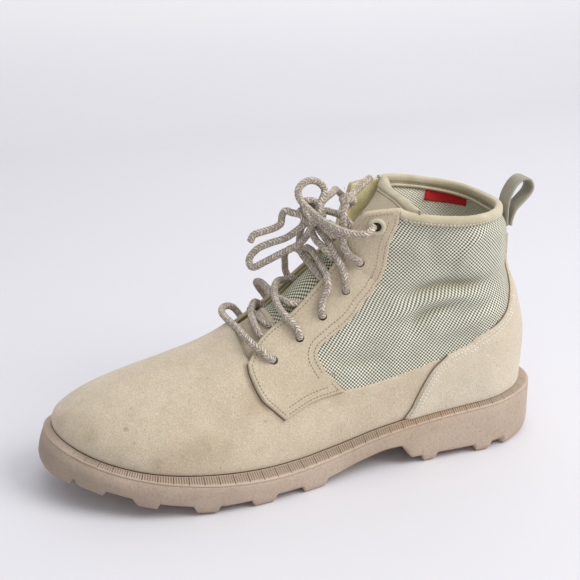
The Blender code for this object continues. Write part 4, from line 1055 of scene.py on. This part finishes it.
def through(values, r, corner=0):
    """Smooth curve through values at whole numbers, with a sharp corner at one of them."""
    index = np.arange(len(values), dtype=float)
    after = smooth(np.maximum(r, corner), index[corner:], values[corner:])
    if not corner:
        return after
    before = smooth(np.minimum(r, corner), index[:corner + 1], values[:corner + 1])
    return np.where(r <= corner, before, after)


def spread(count, edge):
    """Fractions from 0 to 1, crowded at both ends so that an edge can be rounded there."""
    middle = np.linspace(0, 1, count)
    close = np.array([0.25, 0.5, 1.0, 1.6]) * edge
    inner = middle[(middle > close[-1] * 1.3) & (middle < 1 - close[-1] * 1.3)]
    return np.concatenate([[0], close, inner, 1 - close[::-1], [1]])


def ruled(near, far, front, rows, fractions):
    """Fine grid of (station, turn) between two edges, each (stations, turns) at the table's rows.

    front is the true course of the first line across; the next lines follow it in part.
    """
    s, turn = (a[:, None] + (b - a)[:, None] * fractions for a, b in zip(near, far))
    front_s, front_along = np.transpose(front)
    turns = turn_of(front_along)
    excess = smooth(fractions, (turns - turns[0]) / (turns[-1] - turns[0]), front_s) - s[0]
    return s + np.interp(rows, [0, 1, 2, 3], [1.0, 0.5, 0.15, 0.0])[:, None] * excess, turn


def facing_grid(side, count, across):
    """Fine grid over a facing: rows run up the throat, columns from the throat to the rear."""
    rows = spread(count, 0.005) * (len(FACING["throat_s"]) - 1)
    along = read(THROAT, SIDES[side], FACING["throat_s"]) - FACING_INSET
    along[0] = FACING_FRONT[0][1]
    rear = FACING["rear_along"]
    if side < 0:
        rear = rear - (rear[-1] - INNER_REAR) * ramp(FACING["rear_s"], 12.5, 18)
    near = through(FACING["throat_s"], rows), through(turn_of(along), rows)
    far = [through(values, rows, FACING_CORNER) for values in (FACING["rear_s"], turn_of(rear))]
    u = spread(across, 0.008)
    s, turn = ruled(near, far, FACING_FRONT, rows, u)
    return s - 0.55 * np.clip(1 - u / 0.22, 0, 1) ** 2 * ramp(s, 16.2, 18), turn * side


HEEL_ARC = 56.6             # length round one side of the heel as seen from above


def cloth_uv(points):
    """Texture coordinates in mm of upright cloth: level length from the back seam, and height."""
    ahead = back_line(points[..., 2]) - points[..., 1]
    angle = np.arccos(1 - np.clip(ahead / HEEL_LENGTH, 0, 1))
    level = HEEL_ARC * (angle / (math.pi / 2)) ** 1.02 + np.maximum(ahead - HEEL_LENGTH, 0)
    return np.stack([level * np.sign(points[..., 0]), points[..., 2] * 1.03], -1)


def make_shell():
    """Woven quarters and their lining, open at the throat and the collar."""
    rows = np.concatenate([np.linspace(8.3, 12.9, 70), np.linspace(12.95, COLLAR_STATION, 90)])
    outer, inner = (np.linspace(throat_turn(rows, side) + 0.008, 1, 120, axis=1) for side in SIDES)
    turn = np.hstack([outer, 2 - inner[:, -2::-1]])
    s = np.broadcast_to(rows[:, None], turn.shape)
    front = np.where(turn <= 1, COLLAR_FRONT[1], COLLAR_FRONT[-1])
    tucked = np.clip((front + 0.01 - along_of(turn)) / 0.02, 0, 1)
    drop = (1.2 + 3.0 * tucked) * ramp(s, 17.2, 18)

    def at(lift):
        return on_upper(s, turn, lift) - drop[..., None] * (0, 0, 1)

    top = at(-0.5)
    uv = cloth_uv(top)
    # painted shade: the mesh darkens in the troughs of the folds
    crease_shade = np.clip((-fold_lift(skin(s, turn)) - 0.9) * 0.15, 0, 0.45)
    mesh = Mesh().slab(top, at(-1.3), uv, (0, 0, 1), crease_shade)
    mesh.make("quarter_mesh", [MESH, EDGE], "mesh_cloth", ["upper"], weld=0.004)
    coarse = np.ix_(np.append(np.arange(0, len(rows), 2), len(rows) - 1),
                    np.arange(0, turn.shape[1], 2))
    mesh = Mesh().slab(at(-1.35)[coarse], at(-WALL)[coarse], uv[coarse], (0, 0, 1))
    mesh.make("quarter_lining", [LINING, EDGE], "mesh_cloth", weld=0.004)


def make_vamp():
    """Suede from the toe to under the heel counter, along the sole."""
    toe = np.concatenate([np.linspace(0, 1, 24) ** 2, np.linspace(1.06, THROAT_STATION, 100)])
    back = np.linspace(THROAT_STATION, 12.7, 125)[1:]
    corner = turn_of(0.85)
    mesh = Mesh()

    def sheet(s, turn, rim, flip, edges):
        """Both faces of the leather, and the pairs of lines that its cut edges lie between."""
        top = seated(s, turn, 0.7 * rounded(rim) - 0.7)
        under = seated(s, turn, -1.3)
        # the top face is marked with the stains and with painted shade
        mesh.grid(top, mark=vamp_stains_and_shade(top), flip=flip)
        mesh.grid(under, flip=not flip)
        return [np.stack([top[edge], under[edge]]) for edge in edges]

    s, turn = np.meshgrid(toe, np.linspace(-corner, corner, 61), indexing="ij")
    walls = sheet(s, turn, (THROAT_STATION - s) * NEAR_THROAT, False, [-1])
    rows = np.concatenate([toe, back])
    edge = np.where(rows <= THROAT_STATION, corner, turn_of(read(VAMP_EDGE, "along", rows)))
    turn = edge[:, None] + (1 - edge)[:, None] * spread(62, 0.012)
    s = np.broadcast_to(rows[:, None], turn.shape)
    for side in SIDES:
        rim = np.hypot(lengths(skin(s, turn * side))[1],
                       np.maximum(THROAT_STATION - s, 0) * NEAR_THROAT)
        walls += sheet(s, turn * side, rim, side < 0, [np.s_[len(toe) - 1:, 0], -1, np.s_[:, -1]])
    for wall in walls:
        mesh.grid(wall)
    mesh.make("vamp_suede", [SUEDE], "suede", weld=0.01)


# soft dirt on the suede: place, reach in mm, strength
STAINS = (
    ((38.6, -35.6, 56.2), 9, 0.34), ((47, -65.3, 37.9), 9, 0.42), ((46.8, -79.5, 33.7), 8, 0.42),
    ((47, -54, 37.6), 8, 0.28), ((20.5, -123.7, 45.2), 6, 0.35), ((44.8, -90.2, 33.4), 5, 0.40),
    ((29.9, -105, 49.5), 1.2, 0.75), ((38.5, -16.4, 52.9), 4, 0.30),
    ((-0.9, -136.3, 45.8), 6, 0.35), ((12, -128, 46), 9, 0.25), ((36.4, 17.1, 49.3), 5, 0.15),
    ((36.2, 48, 47.2), 8, 0.12), ((32.1, 122.7, 75.3), 7, 0.12), ((-30, -120, 45), 8, 0.25),
    ((-38, -60, 42), 12, 0.25))


def by_line(points, line, reach):
    """Falls from 1 on a line of points to 0 away from it."""
    near = np.min([np.linalg.norm(points - place, axis=-1) for place in line], axis=0)
    return np.exp(-(near / reach) ** 2)


def vamp_stains_and_shade(points):
    """Share of darkening at each point: the stains, and painted shade along the front edges of the
    facings and the heel counter and just above the welt.
    """
    darkening = sum(strength * by_line(points, [place], reach) for place, reach, strength in STAINS)
    # painted shade just above the welt and along the front edges of the overlays
    over = points[..., 2] - feather(points[..., 1])
    seam_shade = 0
    for entries, ahead, reach in ((FACING_FRONT, 0.07, 1.6), (COUNTER_FRONT, 0.05, 1.0)):
        s, along = np.transpose(entries)
        for side in SIDES:
            line = curve_through(skin(s - ahead, turn_of(along) * side), 90)
            seam_shade = np.maximum(seam_shade, by_line(points, line, reach))
    return darkening + 0.5 * np.exp(-np.maximum(over, 0) / 0.8) + 0.45 * seam_shade


def front_curl(s, turn):
    """The facing's thick front edge stands up a little from the vamp."""
    low = np.clip((turn_of(0.42) + 0.02 - np.abs(turn)) / 0.1, 0, 1)
    return 0.9 * (1 - np.clip((s - 6.9) / 0.55, 0, 1)) ** 2 * low


# stitch rows of a facing and of the heel counter: which edge they follow, how far inside it,
# and from where to where
FACING_ROWS = (("left", 2.4, 0.02, 0.985), ("first", 2.4, 0.03, 0.97), ("right", 2.2, 0.02, 0.99),
               ("right", 5.6, 0.03, 0.99), ("last", 2.2, 0.04, 0.97))
COUNTER_ROWS = (("right", 1.8, 0.01, 0.62), ("right", 4.4, 0.01, 0.62),
                ("first", 2.0, 0.08, 0.97), ("first", 4.6, 0.08, 0.97))


def make_facings():
    for (side, name), size in zip(SIDES.items(), ((150, 70), (120, 50))):
        s, turn = facing_grid(side, *size)
        curl = front_curl(s, turn)
        overlay(f"facing_{name}_suede", s, turn, FACING_TOP, -0.9, [FACING_SUEDE, EDGE], "suede",
                ["facing_" + name], ripple=curl, slots=(0, 0, 1))
        place = on_upper(s, turn, FACING_TOP + curl)
        stitches(f"facing_{name}_stitches", [inset(place, *row) for row in FACING_ROWS], 2.05)


def inset(grid, side, distance, low, high):
    """Line that runs inside one border of a grid at a distance from it, between two parts."""
    if side in ("first", "last"):
        grid = np.swapaxes(grid, 0, 1)
    if side in ("right", "last"):
        grid = grid[:, ::-1]
    length = running(grid[:, 0])
    even = np.linspace(0, length[-1], int(length[-1] / 0.8))
    upright = np.cross(np.gradient(grid, axis=0), np.gradient(grid, axis=1))
    upright /= np.linalg.norm(upright, axis=-1, keepdims=True) + 1e-9
    line, middle, out = (points_at(even, length, column) for column in (
        grid[:, 0], grid[:, grid.shape[1] // 4], upright[:, 3]))
    toward = unit(np.cross(headings(line), out))
    line = line + toward * np.sign(np.sum(toward * (middle - line))) * distance
    surface = grid.reshape(-1, 3)
    upright = upright.reshape(-1, 3)
    rim = border(grid)
    kept = []
    for point in line[int(low * len(line)):int(high * len(line))]:
        nearest = np.argmin(((surface - point) ** 2).sum(-1))
        row, column = divmod(int(nearest), grid.shape[1])
        if row in (0, grid.shape[0] - 1) or column in (0, grid.shape[1] - 1):
            continue
        point = point - upright[nearest] * np.dot(point - surface[nearest], upright[nearest])
        if np.min(np.linalg.norm(rim - point, axis=1)) > 0.9 * distance:
            kept.append(point)
    return np.array(kept)


def skin_out(points):
    """Rough outward direction over the sides of the boot."""
    return unit((points - np.clip(points, (0, -100, -1000), (0, 105, 60))) * (1, 1, 0.35))


def stitches(name, lines, pitch, length=1.35, radius=0.34, material=THREAD, slot="suede", out=None):
    """Rows of short sunk stitches along lines of points, on a surface that faces out."""
    mesh = Mesh()
    angle = np.arange(6) * math.pi / 3
    size = radius * np.array([0.3, 0.85, 1.0, 0.85, 0.3])[:, None, None]
    for line in lines:
        along = running(line)
        steps = np.diff(along)
        jump = 2.6 * np.median(steps)
        for start in np.arange(0.3, along[-1] - length, pitch):
            first, last = np.searchsorted(along, (start, start + length))
            if steps[max(first - 1, 0):last].max() > jump:
                continue
            at = start + np.array([0.0, 0.12, 0.5, 0.88, 1.0]) * length
            path = points_at(at, along, line)
            up = skin_out(path) if out is None else np.broadcast_to(out, path.shape)
            side = np.cross(unit(path[-1] - path[0]), up)
            mesh.grid(path[:, None] + size * spokes(angle, side, 0.8 * up), wrap=True)
    mesh.make(name, [material], slot)


def counter_grid():
    """Fine grid over one side of the counter: rows up the back seam, columns to its front."""
    rows = np.linspace(0, 1, 120) * (len(COUNTER["seam_s"]) - 1)
    near = through(COUNTER["seam_s"], rows), np.ones(120)
    far = through(COUNTER["edge_s"], rows), through(turn_of(COUNTER["edge_along"]), rows)
    return ruled(near, far, COUNTER_FRONT, rows, np.linspace(0, 1, 60))


def make_heel_counter():
    s, turn = counter_grid()
    both = np.hstack([s[:, ::-1], s[:, 1:]])
    overlay("heel_counter_suede", both, np.hstack([turn[:, ::-1], 2 - turn[:, 1:]]), COUNTER_TOP,
            -1.0, [COUNTER_SUEDE], "counter_suede", ["heel_counter"], place=seated, soft=0.9,
            mark=0.2 * np.clip((both - 12.4) / 2.0, 0, 1))
    lines = []
    for side in SIDES:
        place = on_upper(s, turn * side, COUNTER_TOP)
        lines += [inset(place, *row) for row in COUNTER_ROWS]
    stitches("counter_stitches", lines, 2.1, 1.6, 0.42, PALE_THREAD, "counter_suede")


def make_seam_shadows():
    """Painted shadow: dark lines in the step where an overlay's edge meets what lies under it."""
    for name, entries, ahead, slot in (("facing_seam_shadow", FACING_FRONT, 0.012, "suede"),
                                       ("counter_seam_shadow", COUNTER_FRONT, 0.008, "counter_suede")):
        mesh = Mesh()
        s, along = np.transpose(entries)
        for side in SIDES:
            turn = turn_of(np.clip(along, 0.012, 1)) * side
            mesh.tube(curve_through(on_upper(s - ahead, turn, 0.1), 150), 0.42, 8)
        mesh.make(name, [CREVICE_SHADOW], slot)
    s, turn = (values[:, -1] for values in counter_grid())
    strip = s > 13.75
    radius = 0.5 * np.clip(np.linspace(0.2, 8, 200), 0, 1)[:, None]
    mesh = Mesh()
    for side in SIDES:
        edge = on_upper(s[strip], turn[strip] * side, -0.2)
        mesh.tube(curve_through(edge[::4], 200), radius, 8)
    mesh.make("counter_edge_shadow", [CREVICE_SHADOW], "counter_suede")


def collar_line(turn, down, lift):
    """Points below the collar's top line."""
    return lifted(COLLAR_STATION, turn, lift) - (0, 0, down)


def make_binding():
    """Padded roll round the collar with its stitched groove, and the piping inside it."""
    turn = np.linspace(turn_of(COLLAR_FRONT[1]) - 0.008, 2.004 - turn_of(COLLAR_FRONT[-1]), 420)
    path = collar_line(turn, BINDING_HALF[1], -WALL / 2)
    out = level_out(COLLAR_STATION, turn)
    sides = 36
    angle = np.linspace(0, 2 * math.pi, sides, endpoint=False)
    across, above = (np.sign(wave) * np.abs(wave) ** 0.75 * half
                     for wave, half in zip((np.cos(angle), np.sin(angle)), BINDING_HALF))
    length = running(path)
    puff = 1 + 0.035 * np.sin(length / 7.0)[:, None] * np.cos(angle * 2)
    groove = np.exp(-((np.sin(angle) + 0.45) / 0.16) ** 2) * (np.abs(np.cos(angle)) > 0.3)
    reach = (1 - 0.13 * groove) * puff
    ring = (path[:, None] + (across * reach)[..., None] * out[:, None]
            + (above * reach)[..., None] * (0, 0, 1.0))
    # painted shade: the roll darkens in its stitched groove through the mark
    mesh = Mesh().grid(ring, pairs(length, np.linspace(0, 16, sides + 1)), wrap=True,
                       mark=0.35 * groove)
    for end in (0, -1):
        mesh.fan(ring[end], path[end], wrap=True, flip=end == 0)
    binding = mesh.make("collar_binding_roll", [BINDING], "binding_cloth", ["collar_binding"],
                        weld=0.005)
    stitches("collar_stitches", [ring[6:-6, 33] + out[6:-6] * 0.15], 2.4, 1.5, 0.3, PALE_THREAD,
             "binding_cloth", out=(0.3, 0.0, 0.95))
    mesh = Mesh().tube(collar_line(turn[4:-4], 6.9, -WALL - 0.9), 1.05, 12)
    mesh.make("collar_piping", [BINDING], "binding_cloth", weld=0.004)


# ---- tongue ----
# tongue: along of its two edges, depth below the wall, and its middle line
TONGUE_ROWS = table(("s", "along_out", "along_in", "depth", "middle_y", "middle_z"), (
    (5.8, 0.74, 0.74, 0.6, -51, 73.5), (6.9, 0.78, 0.78, 0.6, -31, 83.5),
    (8, 0.79, 0.79, 0.6, -18, 92.5), (9.2, 0.785, 0.78, 0.6, -4, 102.5),
    (10.8, 0.78, 0.765, 0.6, 11, 115), (13, 0.755, 0.725, 0.6, 28, 129.5),
    (15, 0.71, 0.71, 0.8, 43.5, 141.5), (17, 0.65, 0.62, 1.8, 59, 152.5),
    (18, 0.605, 0.555, 2.2, 66, 157)))


def tongue_grid(rows, columns, lift):
    """Surface of the tongue at rows from 0 to 1 and columns from -1 to 1; lift 0 is outside."""
    stations = TONGUE_ROWS["s"]
    s = smooth(rows, np.linspace(0, 1, len(stations)), stations)
    value = {k: read(TONGUE_ROWS, k, s) for k in TONGUE_ROWS}
    outer, inner = (lifted(s, side * turn_of(value[name]), -WALL - value["depth"])
                    for name, side in (("along_out", 1), ("along_in", -1)))
    middle = np.stack([(outer[:, 0] + inner[:, 0]) / 2, value["middle_y"], value["middle_z"]], -1)
    u = columns[None, :, None]
    edge = np.where(u > 0, outer[:, None], inner[:, None])
    flat = inner[:, None] + (outer - inner)[:, None] * (u + 1) / 2
    bow = edge + (middle[:, None] - edge) * (1 - np.abs(u) ** 2.2)
    grid = np.concatenate([flat[..., :1], bow[..., 1:]], -1)
    normal = unit(np.cross(np.gradient(grid, axis=1), np.gradient(grid, axis=0)))
    return grid + normal * np.broadcast_to(lift, grid.shape[:2])[..., None]


def make_tongue():
    rows = np.linspace(0, 1, 130)
    columns = np.linspace(-1, 1, 70)
    flat = tongue_grid(rows, columns, 0.0)
    thin = 1 - rounded(gap_to_border(flat) / 5.0)
    top = tongue_grid(rows, columns, -0.1 - 1.6 * thin)
    under = tongue_grid(rows, columns, -0.1 - TONGUE + 1.4 * thin)
    v, u = lengths(flat)
    mesh = Mesh().slab(top, under, np.stack([u - u[:, 35:36], v], -1), (0, 1, 0))
    tongue = mesh.make("tongue_mesh", [TONGUE_MESH, LINING], "mesh_cloth", ["tongue"], weld=0.004)
    dress_tongue()


# section of the tongue's bound top: row, height over the front or the back face, rise of the end
BOUND_TOP = (
    (0.906, -0.6, 0), (0.907, 0.35, 0), (0.911, 0.62, 0), (0.920, 0.66, 0), (0.928, 0.55, 0),
    (0.9305, 0.05, 0), (0.934, 0.7, 0), (0.942, 1.15, 0), (0.957, 1.3, 0), (0.975, 1.15, 0),
    (0.990, 0.75, 0.3), (1, 0.1, 0.9), (1, -2, 1.3), (1, -4, 0.9), (0.990, -4.8, 0.3),
    (0.975, -5.1, 0), (0.95, -5.1, 0), (0.931, -4.8, 0), (0.93, -3.9, 0))
TONGUE_FOOT = 0.287         # how far up the tongue its suede foot reaches


def dress_tongue():
    """Suede foot and smooth panel on the front of the tongue, and its bound top edge."""
    rows = np.linspace(0, 1, 201)
    columns = np.linspace(-1, 1, 70)
    base = tongue_grid(rows, columns, 0.0)
    normal = tongue_grid(rows, columns, 1.0) - base
    side = lengths(base)[1]
    thin = 1 - rounded(np.minimum(side, side[:, -1:] - side) / 5.0)
    end = unit(base[-1] - base[-5])

    def at(row, height, rise=0.0):
        """One line across the tongue, at a part of the way up and a height over its face."""
        k = min(int(row * 200), 199)
        place, out, dip = (values[k] + (values[k + 1] - values[k]) * (row * 200 - k)
                           for values in (base, normal, thin))
        front = -0.1 - 1.6 * dip + height
        back = -0.1 + 1.4 * dip + height
        lift = front if height > -1 else back if height < -3 else (front + back) / 2
        return place + out * lift[:, None] + end * rise

    bound = np.array([at(*entry) for entry in BOUND_TOP])
    runs_on = bound[:, -1] - bound[:, -8]
    runs_on *= 5.0 / np.linalg.norm(runs_on.mean(0))
    bound = np.concatenate([bound, (bound[:, -1] + runs_on)[:, None]], axis=1)
    mesh = Mesh().grid(bound)
    for column in (0, -1):
        mesh.fan(bound[:, column], bound[:, column].mean(0))
    mesh.make("tongue_binding", [BINDING], "binding_cloth", weld=0.003)
    parts = np.linspace(0.60, 0.903, 60)
    # the panel's cut edges are near black: painted shade round its edge
    mesh = Mesh().slab(np.array([at(row, 0.42) for row in parts]),
                       np.array([at(row, -0.5) for row in parts]), slots=(0, 0, 1))
    mesh.make("tongue_panel", [PANEL, HOLE_SHADOW], "mesh_cloth", weld=0.003)
    parts = np.linspace(0.02, TONGUE_FOOT, 60)
    top = np.array([at(row, 0.9 * rounded((TONGUE_FOOT - row) * 160) + 0.3) for row in parts])
    mesh = Mesh().slab(top, np.array([at(row, -0.6) for row in parts]))
    mesh.make("tongue_foot", [SUEDE], "suede", weld=0.003)
    stitches("tongue_foot_stitches", [top[-6]], 2.1, out=(0, -0.5, 0.85))


# ---- small pieces ----
def inside_patch(name, s, turn, outer, inner, material):
    """Thin patch on the inside of the upper's wall."""
    mesh = Mesh().slab(on_upper(s, turn, inner), on_upper(s, turn, outer))
    mesh.make(name, [material], "mesh_cloth", weld=0.003)


def make_linings():
    """Leather that backs the facings, and the bare red label inside the collar."""
    rows = np.linspace(7.0, 17.85, 90)[:, None]
    for side, name in SIDES.items():
        turn = (throat_turn(rows, side) + 0.004 + 0.15 * np.linspace(0, 1, 16)) * side
        inside_patch("throat_lining_" + name, np.broadcast_to(rows, turn.shape), turn, -2.2, -2.75,
                     YELLOW)
    u, v = np.meshgrid(np.linspace(0, 1, 30), np.linspace(0, 1, 12), indexing="ij")
    s = (17.46 + 0.22 * u) * (1 - v) + (16.98 + 0.19 * u) * v
    along = (0.288 - 0.216 * u) * (1 - v) + (0.31 - 0.218 * u) * v
    inside_patch("collar_label", s, -turn_of(along), -2.35, -3.0, LABEL)


def make_insole():
    """Cushioned sock lining on its felt board, inside the upper."""
    s = np.concatenate([np.linspace(0.9, 2.5, 20), np.linspace(2.6, 11.8, 80),
                        np.linspace(11.9, 12.97, 22)])
    across = np.linspace(-1, 1, 41)
    inside_by = (WALL + 1.0) * (1 + 1.6 * np.clip((2.5 - s) / 2.5, 0, 1))
    outer, inner = ((skin(s, side) - level_out(s, 0.97 * side) * inside_by[:, None])[:, None]
                    for side in SIDES)
    share = (across[:, None] + 1) / 2
    grid = inner * (1 - share) + outer * share
    below = grid.copy()
    below[..., 2] = feather(grid[..., 1]) + GAP
    heel = np.clip((grid[..., 1] - 40) / 60, 0, 1)
    grid[..., 2] = below[..., 2] + 3.2 + across ** 4 * (0.6 + 1.6 * heel)
    mesh = Mesh().slab(grid, below, grid[..., :2], (0, 0, 1))
    mesh.make("sock_lining", [SOCK, FELT], "insole_felt", ["insole"], weld=0.003)


# lace holes and top eyelets: station and along
HOLES = ((7.73, 0.723), (8.83, 0.733), (9.80, 0.755), (11.12, 0.80), (13.62, 0.845))
EYELETS = {1: (16.8, 0.795), -1: (16.6, 0.705)}


def make_eyelets():
    """Painted rings of the top eyelets with dark discs of painted shadow in their holes, and such
    discs at the plain lace holes.
    """
    for side, name in SIDES.items():
        s, along = EYELETS[side]
        turn = turn_of(along) * side
        out = skin_normal(s, turn)
        centre = skin(s, turn) + out * FACING_TOP
        mesh = Mesh().disc(centre, out, [(5.25, -0.1), (5.2, 0.45), (4.95, 0.85), (4.5, 1.1),
                                         (4.0, 1.2), (3.4, 1.12), (2.95, 0.85), (2.7, 0.4),
                                         (2.7, 0.0)])
        mesh.make(f"eyelet_{name}_ring", [METAL], "eyelet_metal", ["eyelet_" + name])
        # a dark disc of painted shadow in the eyelet's hole
        mesh = Mesh().disc(centre, out, [(2.8, 0.1), (1.5, 0.06), (0.01, 0.05)])
        mesh.make(f"eyelet_{name}_hole", [HOLE_SHADOW], "eyelet_metal")
    # dark discs of painted shadow round the lace at each plain hole
    mesh = Mesh()
    for s, along in HOLES:
        for side in SIDES:
            turn = turn_of(along) * side
            mesh.disc(on_upper(s, turn, FACING_TOP + 0.05), skin_normal(s, turn),
                      [(2.4, 0.0), (1.5, 0.0), (0.01, 0.0)])
    mesh.make("lace_hole_shadows", [HOLE_SHADOW], "suede")


# course of the pull loop in the boot's middle plane: y and z
LOOP_LINE = ((135.3, 130.5), (135.3, 137), (135.6, 143), (137.1, 149), (140.6, 154.9),
             (144.9, 158.1), (149.5, 157.4), (151.6, 153.2), (150, 149), (145.1, 144.1),
             (140.9, 139.9), (138.6, 134.6), (137.9, 130.5))


def make_loop():
    """Strip of ribbed webbing that stands up from the back of the collar."""
    line = curve_through([(0, y, z) for y, z in LOOP_LINE], 110)
    out = np.cross(headings(line), (1.0, 0, 0))
    x = np.linspace(-6, 6, 46)
    ribs = 0.12 * np.cos(np.linspace(-1, 1, 46) * math.pi * 9)
    thick = 0.75 * np.clip((6 - np.abs(x)) / 0.5, 0.25, 1) + ribs
    middle = line[:, None] + x[:, None] * (1.0, 0, 0)
    lift = out[:, None] * thick[:, None]
    mesh = Mesh().slab(middle + lift, middle - lift, pairs(np.linspace(0, 75, len(line)), x))
    mesh.make("pull_loop_webbing", [WEBBING], "loop_webbing", ["pull_loop"], weld=0.004)


make_camera()
make_bows()
make_stage()
make_outsole()
make_shell()
make_vamp()
make_facings()
make_heel_counter()
make_seam_shadows()
make_binding()
make_tongue()
make_linings()
make_insole()
make_eyelets()
make_loop()
